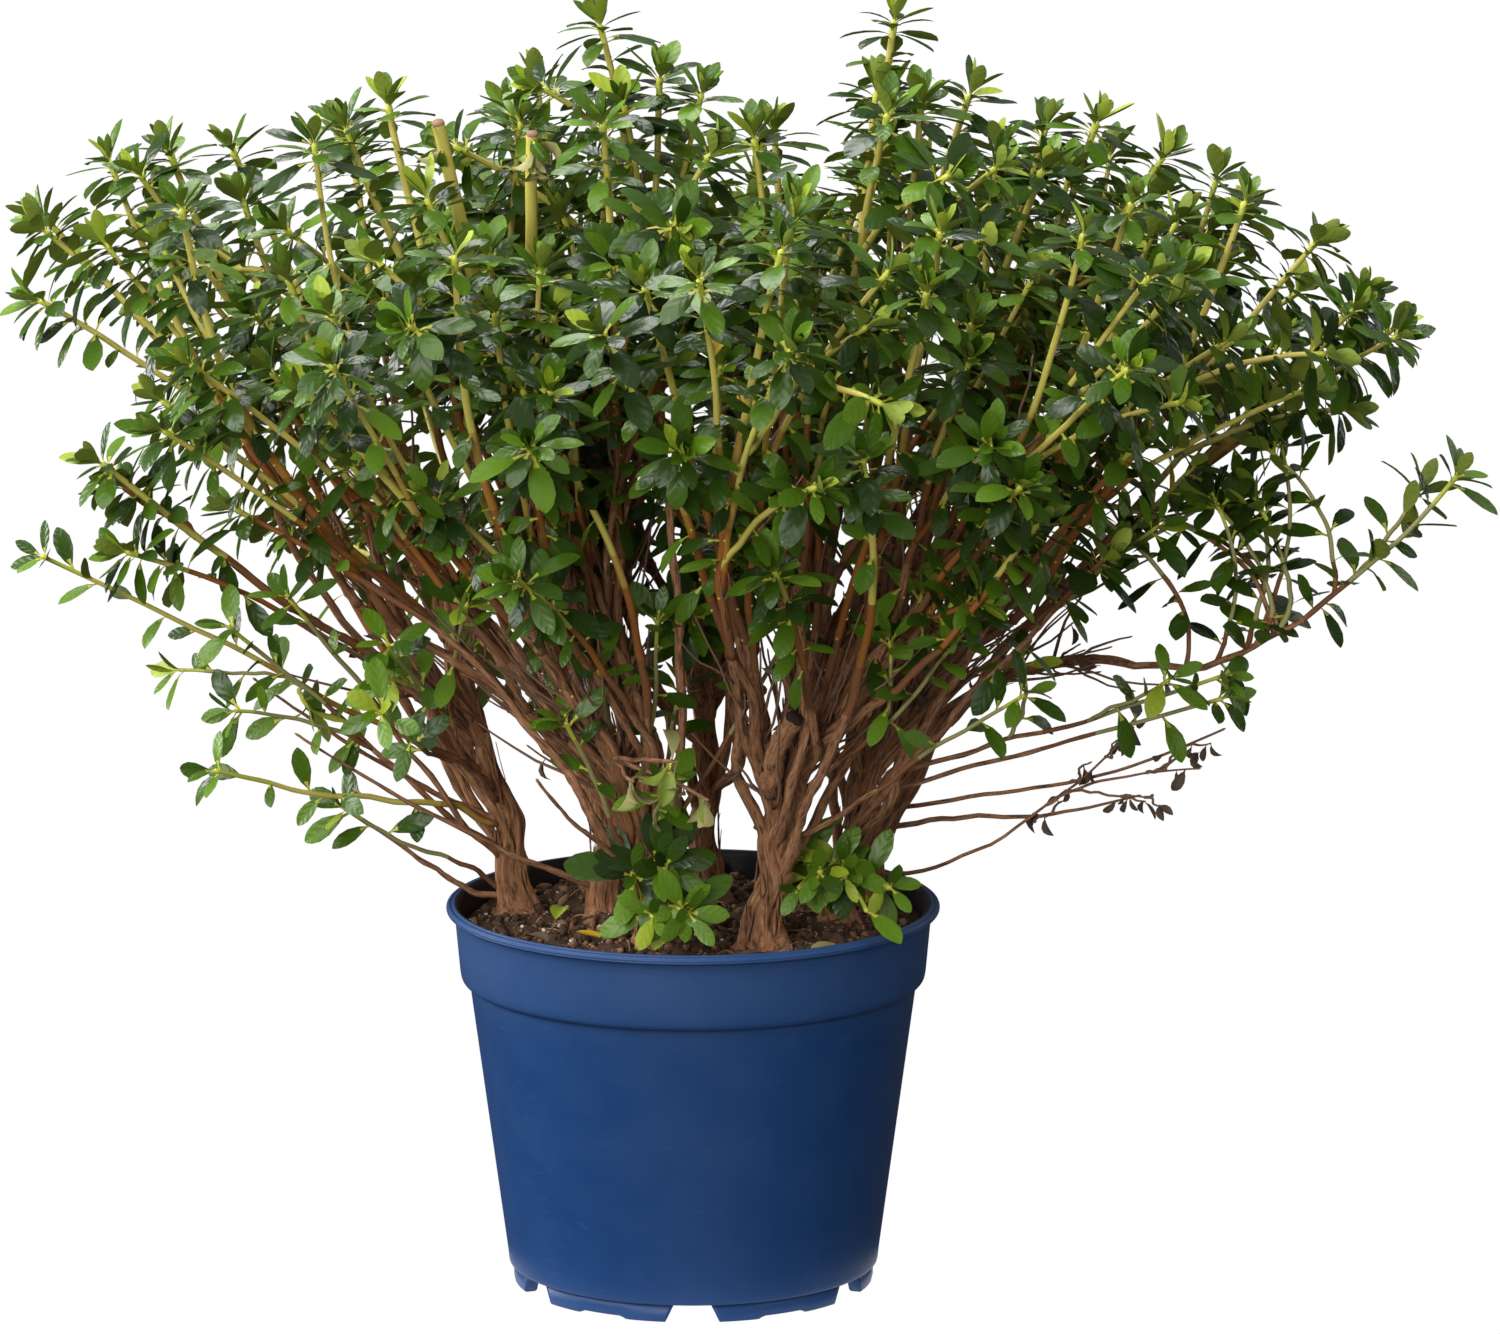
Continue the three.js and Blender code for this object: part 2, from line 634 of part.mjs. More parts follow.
// The dry spray: a bare leader that sags from its stem and two side twigs that end near its tip.
function makeDrySpray(spray, stems) {
  const stem = stems.find((one) => one.name === spray.stem);
  const endAt = (polar, azimuth, reach) => FOCUS.clone().addScaledVector(heading(polar, azimuth), reach);
  const end = endAt(spray.polar, spray.azimuth, spray.reach);
  const root = rootOnStem(stem, spray.at, end, spray.rootRadius);
  const radii = [spray.rootRadius, spray.tipRadius];
  const leader = makeTwig(root.point, root.way.clone().setZ(0.1), end, radii, LEADER_RINGS, false);
  const sides = spray.sideTwigs.map((side) => {
    const start = onSpine(leader, side.at);
    const sideEnd = endAt(side.polar, side.azimuth, spray.reach * side.share);
    const sideRadii = [spray.sideRadius, spray.tipRadius];
    return makeTwig(start.point, start.way, sideEnd, sideRadii, SIDE_TWIG_RINGS, true);
  });
  return clearOfStem(fuse([leader, ...sides].map((twig) => limbSolid(twig))), stem);
}

// The boughs of one stem, the straightest first. Each is cut back from the stem and from those before it.
function makeBoughs(stem, masses) {
  const stemWay = stem.curve.getTangent(1);
  const straightness = (mass) => mass.way.clone().normalize().dot(stemWay);
  const carried = masses.filter((mass) => mass.bough && mass.onStem === stem);
  carried.sort((a, b) => straightness(b) - straightness(a));
  const boughs = carried.map((mass, rank) => ({ mass, ...makeBough(mass, stem, rank) }));
  return boughs.map((bough, rank) => {
    const cutters = [stem, ...boughs.slice(0, rank)];
    const solid = cutters.reduce((rest, cutter) => rest.subtract(limbSolid(cutter, GAP)), limbSolid(bough));
    return { ...bough, solid: fuse([solid]) };
  });
}

// The root of a mass that meets its bough's tip face to face, just clear.
function rootOnBough(bough) {
  const tip = along(bough, 1);
  return { point: tip.point.addScaledVector(tip.way, GAP), way: tip.way, radius: TWIG.rootRadius };
}

// The crown's masses with their spaces and stems.
function spacedMasses(stems) {
  const masses = crownMasses();
  const unitOf = (way) => unsqueezed(FOCUS.clone().add(way)).normalize();
  const cells = masses.map(({ way, reach }) => ({ unit: unitOf(way), reach }));
  return masses.map((mass, i) => ({
    ...mass,
    space: { ...cells[i], others: cells.filter((_, j) => j !== i), bough: mass.bough },
    onStem: nearestStem(mass, stems),
    target: rosettePlacer(mass.way, mass.reach, mass.bough ? SPREAD.bough : SPREAD.shoot),
  }));
}

// The tufts at the foot, which grow as the masses do.
function spacedTufts(stems) {
  return TUFTS.map((tuft) => ({
    lower: LOWER_LEAVES.count,
    ...tuft,
    space: { unit: UP, others: [], reach: BARE_RADIUS, bough: false },
    onStem: stems.find((stem) => stem.name === tuft.stem),
    target: tuftPlacer(tuft),
  }));
}

// Puts everything together as one group of named meshes.
function build() {
  const plant = new THREE.Group();
  const show = (name, solid, finish) => {
    const material = new THREE.MeshStandardMaterial({ ...finish, metalness: 0 });
    const mesh = new THREE.Mesh(geometryFrom(solid), material);
    mesh.name = name;
    plant.add(mesh);
  };
  show("pot", makePot(), FINISHES.pot);
  show("soil", makeSoil(), FINISHES.soil);

  const stems = STEMS.map(makeStem);
  for (const stem of stems) show(stem.name, limbSolid(stem), FINISHES.bark);

  const masses = spacedMasses(stems);
  const boughs = stems.flatMap((stem) => makeBoughs(stem, masses));
  for (const bough of boughs) {
    bough.mass.root = rootOnBough(bough);
    show(bough.name, bough.solid, FINISHES.bark);
  }

  const growing = [...masses, ...spacedTufts(stems)];
  for (const mass of growing) {
    mass.root ??= rootOnStem(mass.onStem, mass.at, mass.target(0, 0, 0), TWIG.sideRadius);
  }
  const drySpray = makeDrySpray(DRY_SPRAY, stems);
  const leaders = growing.map(makeLeader);
  const inTheWay = [...leaders.map((leader) => boxed(limbSolid(leader))), boxed(drySpray)];
  growing.forEach((mass, i) => {
    const neighbours = inTheWay.filter((_, j) => j !== i);
    const grown = growMass(mass, leaders[i], [...stems, ...boughs], neighbours, FIRST_SEED + i);
    inTheWay[i] = boxed(grown);
    show(`foliage_${mass.name}`, mass.bough ? grown : clearOfStem(grown, mass.onStem), FINISHES.leaf);
  });
  show(DRY_SPRAY.name, drySpray, FINISHES.dryBark);
  return plant;
}

export default build();
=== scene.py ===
"""A potted Japanese azalea: a blue nursery pot, peat, nine fibrous stems and a broad crown of leafy shoots.

The script works in millimetres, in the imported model's frame, and turns them to metres as a mesh is made.
The plant is a fan of shoots that spread from a focus under the soil, by the same rule as the solids.
"""

import logging
import math
from dataclasses import dataclass, field, fields, replace
from enum import IntEnum
from typing import Self

import bpy
import numpy as np
from bpy.types import Material, Node, NodeOutputs, NodeSocket, NodeTree, Object
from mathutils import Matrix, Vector
from numpy import ndarray as Array
from numpy.linalg import norm
from numpy.random import Generator, default_rng

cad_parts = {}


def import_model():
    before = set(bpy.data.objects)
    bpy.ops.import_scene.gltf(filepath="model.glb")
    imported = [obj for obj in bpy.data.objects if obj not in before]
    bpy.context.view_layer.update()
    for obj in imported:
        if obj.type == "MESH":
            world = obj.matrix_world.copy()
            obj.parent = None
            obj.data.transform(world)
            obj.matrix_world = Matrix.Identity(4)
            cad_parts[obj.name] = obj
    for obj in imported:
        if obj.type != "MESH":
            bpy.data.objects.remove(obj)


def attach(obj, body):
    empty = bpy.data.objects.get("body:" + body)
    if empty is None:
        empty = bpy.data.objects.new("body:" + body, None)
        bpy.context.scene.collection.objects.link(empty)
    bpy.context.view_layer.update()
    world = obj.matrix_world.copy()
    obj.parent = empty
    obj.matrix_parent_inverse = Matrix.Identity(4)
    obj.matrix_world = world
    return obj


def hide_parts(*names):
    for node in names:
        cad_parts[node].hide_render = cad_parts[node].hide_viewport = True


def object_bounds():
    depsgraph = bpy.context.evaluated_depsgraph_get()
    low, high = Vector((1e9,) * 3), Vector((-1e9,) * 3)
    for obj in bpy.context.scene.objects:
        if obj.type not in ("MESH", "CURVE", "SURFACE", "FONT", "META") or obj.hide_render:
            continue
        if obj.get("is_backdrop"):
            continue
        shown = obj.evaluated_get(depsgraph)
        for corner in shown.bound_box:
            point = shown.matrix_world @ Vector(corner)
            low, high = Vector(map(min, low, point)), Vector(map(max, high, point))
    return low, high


LOG = logging.getLogger("azalea")
METRES_PER_MM = 0.001
WHOLE_TURN = 2 * math.pi
GOLDEN_TURN = math.pi * (3 - math.sqrt(5))
# A wave's random start is drawn from a little over a whole turn.
ANY_PHASE = 6.3
UP = np.array([0.0, 0.0, 1.0])
SOIL_LEVEL = 168.0
POT_TOP = 180.0
# Leaf tips nearer the pot's axis than this are inside its lip.
INSIDE_LIP = 104.0


def linear(colour: str) -> tuple[float, float, float, float]:
    """Turns an sRGB hex colour, such as "#28477f", into linear red, green, blue and a full alpha."""
    parts = [int(colour[i : i + 2], 16) / 255 for i in (1, 3, 5)]
    return (*[p / 12.92 if p <= 0.04045 else ((p + 0.055) / 1.055) ** 2.4 for p in parts], 1.0)


def unit(vectors: Array) -> Array:
    """Returns the vectors, on the last axis, at length 1."""
    return vectors / np.maximum(norm(vectors, axis=-1, keepdims=True), 1e-9)


def squared(vectors: Array, ways: Array) -> Array:
    """Returns the vectors less what they have along the unit ways, at length 1."""
    return unit(vectors - ways * np.sum(vectors * ways, axis=-1, keepdims=True))


def square_to(ways: Array) -> Array:
    """Returns a unit vector square to each way."""
    other = np.where(np.abs(ways[..., 2:3]) > 0.8, np.array([1.0, 0.0, 0.0]), UP)
    return unit(np.cross(ways, other))


def beside(ways: Array, turn: Array) -> Array:
    """Returns a unit vector square to each way, at its turn round it."""
    first = square_to(ways)
    return np.cos(turn)[..., None] * first + np.sin(turn)[..., None] * np.cross(ways, first)


def mixed(low: float | Array, high: float | Array, share: Array) -> Array:
    """Returns the values between low and high at a share of the way."""
    return low + (high - low) * share


def bowed(start: Array, bend: Array, end: Array, share: Array) -> Array:
    """Returns points at shares of a curve of one bend: (1 - s)² · start + 2s(1 - s) · bend + s² · end."""
    return (1 - share) ** 2 * start + 2 * share * (1 - share) * bend + share**2 * end


def fitted(piece: Object, solids: list[str] | None = None) -> Object:
    """Puts a piece in its place on the part.

    Args:
        piece: the piece.
        solids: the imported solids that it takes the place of.

    Returns:
        The piece, which rides on the plant's one body.
    """
    if solids is not None:
        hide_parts(*solids)
    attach(piece, "root")
    return piece


def on_disc(radius: float, count: int, rng: Generator) -> tuple[Array, Array]:
    """Scatters points evenly on a disc.

    Args:
        radius: the disc's radius.
        count: how many points there are.
        rng: the seeded numbers.

    Returns:
        Their x and their y.
    """
    turn = rng.uniform(0, WHOLE_TURN, count)
    reach = radius * np.sqrt(rng.uniform(0, 1, count))
    return reach * np.cos(turn), reach * np.sin(turn)


def clear_of_pot(points: Array, over_lip: float, outside: float = math.inf) -> Array:
    """Tells which points keep clear of the pot.

    Args:
        points: the points.
        over_lip: how far over the lip a point is clear wherever it is.
        outside: how far from the pot's axis a point is clear at any height.

    Returns:
        True for each point over the lip, far outside the pot, or just over the soil within the lip.
    """
    wide = np.hypot(points[:, 0], points[:, 1])
    within = (wide < INSIDE_LIP) & (points[:, 2] > SOIL_LEVEL + 4)
    return (points[:, 2] > POT_TOP + over_lip) | (wide > outside) | within


def add_node(
    tree: NodeTree, kind: str, settings: dict | None = None, inputs: dict | None = None
) -> NodeOutputs:
    """Adds a shader node with its settings and links.

    Args:
        tree: the material's node tree.
        kind: the node's type without its first words, such as "Bump".
        settings: the node's own properties.
        inputs: a value, or the output socket that feeds it, for each named or numbered input.

    Returns:
        The new node's outputs.
    """
    made = tree.nodes.new("ShaderNode" + kind)
    for name, value in (settings or {}).items():
        setattr(made, name, value)
    for name, value in (inputs or {}).items():
        if isinstance(value, NodeSocket):
            tree.links.new(value, made.inputs[name])
        else:
            made.inputs[name].default_value = value
    return made.outputs


def new_material(name: str, sockets: dict) -> tuple[Material, NodeTree, Node]:
    """Makes a material of one Principled shader.

    Args:
        name: the finish's name.
        sockets: the shader's own values.

    Returns:
        The material, its node tree and its shader.
    """
    material = bpy.data.materials.new(name)
    material.use_nodes = True
    tree = material.node_tree
    shader = next(one for one in tree.nodes if one.type == "BSDF_PRINCIPLED")
    for socket, value in sockets.items():
        shader.inputs[socket].default_value = value
    material.diffuse_color = shader.inputs["Base Color"].default_value
    return material, tree, shader


@dataclass
class Surface:
    """The points and faces of a piece, in millimetres.

    A face has four corners; one whose last two are the same is a triangle. fibre gives each point its place
    in the wood: round the limb and, shortened, along it.
    """

    points: Array
    faces: Array
    slots: Array
    uv: Array
    fibre: Array | None = None

    @staticmethod
    def joined(parts: list["Surface"]) -> "Surface":
        """Joins surfaces into one.

        Args:
            parts: the surfaces.

        Returns:
            One surface, with each point's place in the wood where all the parts have it.
        """
        starts = np.cumsum([0] + [len(part.points) for part in parts[:-1]])
        with_fibre = all(part.fibre is not None for part in parts)
        return Surface(
            np.concatenate([part.points for part in parts]),
            np.concatenate([part.faces + start for part, start in zip(parts, starts)]),
            np.concatenate([part.slots for part in parts]),
            np.concatenate([part.uv for part in parts]),
            np.concatenate([part.fibre for part in parts]) if with_fibre else None,
        )

    def piece(self, name: str, materials: list[Material]) -> Object:
        """Puts the surface into a mesh object at the origin, shaded as one curved skin.

        Args:
            name: the piece's name.
            materials: one for each slot.

        Returns:
            The object, linked to the scene.
        """
        mesh = bpy.data.meshes.new(name)
        kept = np.ones(self.faces.shape, bool)
        kept[:, 3] = self.faces[:, 3] != self.faces[:, 2]
        corners = self.faces[kept]
        counts = kept.sum(axis=1)
        starts = np.concatenate([[0], np.cumsum(counts)[:-1]])
        mesh.vertices.add(len(self.points))
        mesh.vertices.foreach_set("co", (self.points * METRES_PER_MM).astype(np.float32).ravel())
        mesh.loops.add(len(corners))
        mesh.loops.foreach_set("vertex_index", corners.astype(np.int32))
        mesh.polygons.add(len(self.faces))
        mesh.polygons.foreach_set("loop_start", starts.astype(np.int32))
        mesh.polygons.foreach_set("material_index", self.slots.astype(np.int32))
        mesh.polygons.foreach_set("use_smooth", np.ones(len(self.faces), bool))
        mesh.update(calc_edges=True)
        layer = mesh.uv_layers.new(name="UVMap")
        layer.uv.foreach_set("vector", self.uv[kept].astype(np.float32).ravel())
        if self.fibre is not None:
            attribute = mesh.attributes.new("fibre", "FLOAT_VECTOR", "POINT")
            attribute.data.foreach_set("vector", self.fibre.astype(np.float32).ravel())
        for material in materials:
            mesh.materials.append(material)
        made = bpy.data.objects.new(name, mesh)
        bpy.context.scene.collection.objects.link(made)
        return made


def woven(
    points: Array,
    closed: bool,
    poles: Array | None = None,
    slots: Array | int = 0,
    fibre: Array | None = None,
) -> Surface:
    """Makes faces over many grids at once.

    Face (r, c) of a grid joins points (r, c), (r, c + 1), (r + 1, c + 1) and (r + 1, c). A closed grid's last
    column joins its first, and poles close its first and last rows with fans.

    Args:
        points: an array of grids, rows, columns and coordinates.
        closed: whether the columns run round.
        poles: for each grid, the middle of its first row and of its last.
        slots: the material slot, one for all, one for each grid and step between rows, or one for each face.
        fibre: each point's place in the wood, like points, where there are poles too.

    Returns:
        One surface of all the grids.
    """
    count, rows, columns, _ = points.shape
    steps = columns if closed else columns - 1
    row, column = np.meshgrid(np.arange(rows - 1), np.arange(steps), indexing="ij")
    following = (column + 1) % columns
    here = row * columns
    above = here + columns
    pattern = np.stack([here + column, here + following, above + following, above + column], axis=-1)
    pattern = pattern.reshape(-1, 4)
    u = np.stack([row, row, row + 1, row + 1], axis=-1) / (rows - 1)
    v = np.stack([column, column + 1, column + 1, column], axis=-1) / steps
    uv = np.stack([u, v], axis=-1).reshape(-1, 4, 2)
    if np.ndim(slots) < 3:
        slots = np.reshape(slots, (-1, np.size(slots) // count or 1, 1))
    by_face = np.broadcast_to(slots, (count, rows - 1, steps))
    face_slots = by_face.reshape(count, -1)
    flat = points.reshape(count, -1, 3)
    wood = None if fibre is None else fibre.reshape(count, -1, 3)
    if poles is not None:
        around = np.arange(steps)
        after = (around + 1) % columns
        last = (rows - 1) * columns
        begin = np.full(steps, rows * columns)
        first_fan = np.stack([begin, after, around, around], axis=-1)
        last_fan = np.stack([begin + 1, last + around, last + after, last + after], axis=-1)
        pattern = np.concatenate([pattern, first_fan, last_fan])
        uv = np.concatenate([uv, uv[:steps], uv[-steps:]])
        face_slots = np.concatenate([face_slots, by_face[:, 0], by_face[:, -1]], axis=1)
        flat = np.concatenate([flat, poles], axis=1)
        if wood is not None:
            wood = np.concatenate([wood, wood[:, [0, -1]] * [0.1, 0.1, 1]], axis=1)
    offsets = np.arange(count)[:, None, None] * flat.shape[1]
    return Surface(
        flat.reshape(-1, 3),
        (pattern[None] + offsets).reshape(-1, 4),
        face_slots.reshape(-1),
        np.tile(uv, (count, 1, 1)),
        None if wood is None else wood.reshape(-1, 3),
    )


# A limb's length counts this much in the bark's pattern, which draws its fibres out along the limb. Each tube
# starts so many millimetres further on in the pattern than the one before it.
FIBRE_DRAW = 0.16
TUBE_SHIFT = 37.0


def tubes(
    centres: Array, radii: Array, sides: int, slots: Array | int = 0, normal: Array | None = None
) -> Surface:
    """Sweeps a ring along many paths at once.

    A ring's point is its centre plus its radius times (cos a · normal + sin a · side). The normal is carried
    along the path without twisting, and side is square to it and to the path.

    Args:
        centres: paths, rings and coordinates.
        radii: paths and rings, and also sides where a ring isn't round.
        sides: the points in a ring.
        slots: the material slot, one for all, one for each path and step, or one for each face.
        normal: the way from each path's start that a ring's first point lies, or any way.

    Returns:
        One surface of all the tubes, with closed ends.
    """
    way = unit(np.gradient(centres, axis=1))
    carried = square_to(way[:, 0]) if normal is None else normal
    normals = np.empty_like(centres)
    for ring in range(centres.shape[1]):
        carried = squared(carried, way[:, ring])
        normals[:, ring] = carried
    side = np.cross(way, normals)
    turn = WHOLE_TURN * np.arange(sides) / sides
    around = np.cos(turn)[:, None] * normals[:, :, None] + np.sin(turn)[:, None] * side[:, :, None]
    spread = radii[..., None] if radii.ndim == 2 else radii
    points = centres[:, :, None] + spread[..., None] * around
    between = norm(np.diff(centres, axis=1, prepend=centres[:, :1]), axis=-1)
    fibre = np.empty(points.shape)
    fibre[..., 0] = np.cos(turn) * spread + np.arange(len(centres))[:, None, None] * TUBE_SHIFT
    fibre[..., 1] = np.sin(turn) * spread
    fibre[..., 2] = FIBRE_DRAW * np.cumsum(between, axis=1)[..., None]
    return woven(points, True, centres[:, [0, -1]], slots, fibre)


def lathe(profile: Array, segments: int) -> Array:
    """Turns an outline about +Z: a point is (radius · cos turn, radius · sin turn, height).

    Args:
        profile: the outline's rows of radius and height.
        segments: how many turns its grid has.

    Returns:
        A grid of outline points, turns and coordinates.
    """
    turn = WHOLE_TURN * np.arange(segments) / segments
    radius = profile[:, :1]
    height = profile[:, 1:]
    return np.stack([radius * np.cos(turn), radius * np.sin(turn), height + 0 * turn], axis=-1)


def rounded(corners: list[tuple[float, float, float]], steps: int = 5) -> Array:
    """Rounds an outline's corners.

    Each corner is replaced by a curve of one bend, which leaves one side and meets the next at the corner's
    rounding from it, or halfway along a shorter side.

    Args:
        corners: radius, height and rounding of each corner, the ends with no rounding.
        steps: the points in each curve.

    Returns:
        The outline's points as (radius, height) rows.
    """
    places = np.array([corner[:2] for corner in corners])
    points = [places[0]]
    for before, at, after, corner in zip(places, places[1:], places[2:], corners[1:]):
        back = before - at
        on = after - at
        start = at + back * min(0.5, corner[2] / norm(back))
        end = at + on * min(0.5, corner[2] / norm(on))
        share = np.linspace(0, 1, steps)[:, None]
        points.extend(bowed(start, at, end, share))
    points.append(places[-1])
    return np.array(points)


@dataclass(frozen=True)
class MouldedPolypropylene:
    """Moulded polypropylene: even blue, satin, with a faint mottle and the pale scuffs of handling."""

    name: str = "moulded_polypropylene_blue"
    body: str = "#073263"
    # The paler colour serves the scuffs and the mottle, and also the painted sheen on the collar.
    worn: str = "#3b5680"
    mottle_mm: float = 26.0
    scuff_mm: float = 9.0

    def material(self) -> Material:
        """Makes the material.

        Returns:
            The plastic, with broad mottling, fine level scuffs and a collar pale with handling.
        """
        made, tree, shader = new_material(
            self.name, {"Base Color": linear(self.body), "Specular IOR Level": 0.3, "Roughness": 0.4}
        )
        place = add_node(tree, "TexCoord")["Object"]
        broad = add_node(
            tree, "TexNoise", {}, {"Vector": place, "Scale": 1000 / self.mottle_mm, "Detail": 4.0}
        )[0]
        drawn = add_node(tree, "Mapping", {}, {"Vector": place, "Scale": (1.0, 1.0, 3.5)})[0]
        fine = add_node(
            tree, "TexNoise", {},
            {"Vector": drawn, "Scale": 1000 / self.scuff_mm, "Detail": 6.0, "Roughness": 0.7},
        )[0]
        scuffed = add_node(
            tree, "MapRange", {"interpolation_type": "SMOOTHSTEP"},
            {"Value": fine, "From Min": 0.56, "From Max": 0.78, "To Min": 0.0, "To Max": 0.26},
        )[0]
        mottled = add_node(
            tree, "MapRange", {}, {"Value": broad, "From Min": 0.35, "From Max": 0.7, "To Max": 0.1}
        )[0]
        height = add_node(tree, "SeparateXYZ", {}, {0: place})[2]
        # Painted sheen: from 130 to 160 mm up, the colour turns much further to the paler one, so the collar
        # is painted lighter, as if lit from above.
        painted_collar_sheen = add_node(
            tree, "MapRange", {},
            {"Value": height, "From Min": 0.13, "From Max": 0.16, "To Min": 0.09, "To Max": 0.34},
        )[0]
        marks = add_node(tree, "Math", {"operation": "ADD"}, {0: scuffed, 1: mottled})[0]
        both = add_node(tree, "Math", {"operation": "ADD"}, {0: marks, 1: painted_collar_sheen})[0]
        colour = add_node(
            tree, "Mix", {"data_type": "RGBA"}, {0: both, 6: linear(self.body), 7: linear(self.worn)}
        )[2]
        gloss = add_node(
            tree, "MapRange", {}, {"Value": both, "From Max": 0.5, "To Min": 0.36, "To Max": 0.52}
        )[0]
        relief = add_node(tree, "Bump", {}, {"Strength": 0.25, "Distance": 0.0003, "Height": fine})[0]
        tree.links.new(colour, shader.inputs["Base Color"])
        tree.links.new(gloss, shader.inputs["Roughness"])
        tree.links.new(relief, shader.inputs["Normal"])
        return made


@dataclass(frozen=True)
class FibrousBark:
    """Azalea bark: matt, red-brown, in fibres that follow the limb, with dark creases and pale torn edges."""

    name: str = "fibrous_bark"
    deep: str = "#452b1b"
    body: str = "#83573a"
    ruddy: str = "#a6744c"
    pale: str = "#d0a577"
    fibre_mm: float = 1.7
    patch_mm: float = 9.0

    def material(self) -> Material:
        """Makes the material.

        Returns:
            The bark, from two noises that are drawn out along the limb.
        """
        made, tree, shader = new_material(self.name, {"Base Color": linear(self.body), "Roughness": 0.88})
        place = add_node(tree, "Attribute", {"attribute_name": "fibre"})["Vector"]
        fibres = add_node(
            tree, "TexNoise", {},
            {"Vector": place, "Scale": 1 / self.fibre_mm, "Detail": 5.0, "Roughness": 0.65},
        )[0]
        patches = add_node(
            tree, "TexNoise", {}, {"Vector": place, "Scale": 1 / self.patch_mm, "Detail": 3.0}
        )[0]
        dark = add_node(
            tree, "MapRange", {"interpolation_type": "SMOOTHSTEP"},
            {"Value": fibres, "From Min": 0.52, "From Max": 0.34, "To Min": 0.0, "To Max": 0.9},
        )[0]
        light = add_node(
            tree, "MapRange", {"interpolation_type": "SMOOTHSTEP"},
            {"Value": fibres, "From Min": 0.54, "From Max": 0.72, "To Min": 0.0, "To Max": 0.8},
        )[0]
        ruddy = add_node(
            tree, "Mix", {"data_type": "RGBA"}, {0: patches, 6: linear(self.body), 7: linear(self.ruddy)}
        )[2]
        lit = add_node(tree, "Mix", {"data_type": "RGBA"}, {0: light, 6: ruddy, 7: linear(self.pale)})[2]
        colour = add_node(tree, "Mix", {"data_type": "RGBA"}, {0: dark, 6: lit, 7: linear(self.deep)})[2]
        relief = add_node(tree, "Bump", {}, {"Strength": 0.9, "Distance": 0.0012, "Height": fibres})[0]
        tree.links.new(colour, shader.inputs["Base Color"])
        tree.links.new(relief, shader.inputs["Normal"])
        return made


@dataclass(frozen=True)
class PlantSkin:
    """The skin of a leaf, twig or crumb: one plain colour, so that each spray keeps it, and a fine relief.

    veins is how many side veins run from the rib to a leaf's edge, and 0 gives a grain of grain_mm, which is
    drawn out upwards as bark is.
    """

    name: str
    colour: str
    roughness: float
    veins: int = 0
    grain_mm: float = 1.5
    depth_mm: float = 0.3
    shine: float = 0.36
    drawn: float = 1.0

    def material(self) -> Material:
        """Makes the material. A vein's height is sin(2π · veins · (along - 0.32 · out from the rib)).

        Returns:
            The skin, with its veins or its grain as relief.
        """
        made, tree, shader = new_material(self.name, {
            "Base Color": linear(self.colour), "Roughness": self.roughness, "Specular IOR Level": self.shine,
        })
        if self.veins:
            place = add_node(tree, "UVMap", {"uv_map": "UVMap"})[0]
            parts = add_node(tree, "SeparateXYZ", {}, {0: place})
            across = add_node(tree, "Math", {"operation": "SUBTRACT"}, {0: parts[1], 1: 0.5})[0]
            out = add_node(tree, "Math", {"operation": "ABSOLUTE"}, {0: across})[0]
            swept = add_node(tree, "Math", {"operation": "MULTIPLY_ADD"}, {0: out, 1: -0.32, 2: parts[0]})[0]
            turns = add_node(
                tree, "Math", {"operation": "MULTIPLY"}, {0: swept, 1: WHOLE_TURN * self.veins}
            )[0]
            height = add_node(tree, "Math", {"operation": "SINE"}, {0: turns})[0]
        else:
            place = add_node(tree, "TexCoord")["Object"]
            place = add_node(tree, "Mapping", {}, {"Vector": place, "Scale": (1.0, 1.0, 1 / self.drawn)})[0]
            height = add_node(
                tree, "TexNoise", {}, {"Vector": place, "Scale": 1000 / self.grain_mm, "Detail": 3.0}
            )[0]
        relief = add_node(
            tree, "Bump", {}, {"Strength": 0.6, "Distance": self.depth_mm * METRES_PER_MM, "Height": height}
        )[0]
        tree.links.new(relief, shader.inputs["Normal"])
        return made


class LeafSlot(IntEnum):
    """The skins that a piece of leaves is dealt out in."""

    YOUNG = 0
    FRESH = 1
    MID = 2
    DARK = 3
    DEEP = 4
    UNDER = 5
    UNDER_YOUNG = 6
    PETIOLE = 7
    GOLD = 8
    WILTED = 9
    DEAD = 10


# The newest leaves are lime and soft, grown ones are fresh to deep glossy green, and undersides matt olive.
LEAF_SKINS = (
    PlantSkin("young_leaf_lime", "#8fa128", 0.48, veins=6, depth_mm=0.08),
    PlantSkin("leaf_fresh_green", "#56761a", 0.34, veins=7, depth_mm=0.07, shine=0.27),
    PlantSkin("leaf_mid_green", "#3f5c10", 0.31, veins=7, depth_mm=0.07, shine=0.27),
    PlantSkin("leaf_dark_green", "#2f480f", 0.28, veins=7, depth_mm=0.07, shine=0.27),
    PlantSkin("leaf_deep_glossy_green", "#223510", 0.26, veins=7, depth_mm=0.07, shine=0.27),
    PlantSkin("leaf_underside_olive", "#76862f", 0.58, veins=6, depth_mm=0.08),
    PlantSkin("young_leaf_underside", "#98a534", 0.56, veins=6, depth_mm=0.06),
    PlantSkin("petiole_yellow_green", "#b0af3e", 0.50, grain_mm=0.8, depth_mm=0.1),
    PlantSkin("leaf_turning_gold", "#b8981a", 0.45, veins=6, depth_mm=0.08),
    PlantSkin("leaf_wilted_tan", "#94905a", 0.60, grain_mm=1.0),
    PlantSkin("leaf_dead_umber", "#594839", 0.75, grain_mm=1.0),
)


class TwigSlot(IntEnum):
    """The skins of a twig, from its oldest wood to its newest growth, then three for low and dead twigs."""

    BARK = 0
    CHESTNUT = 1
    RUSSET = 2
    AMBER = 3
    TAN = 4
    STRAW = 5
    GREEN = 6
    DRY = 7
    CUT = 8
    OLIVE = 9


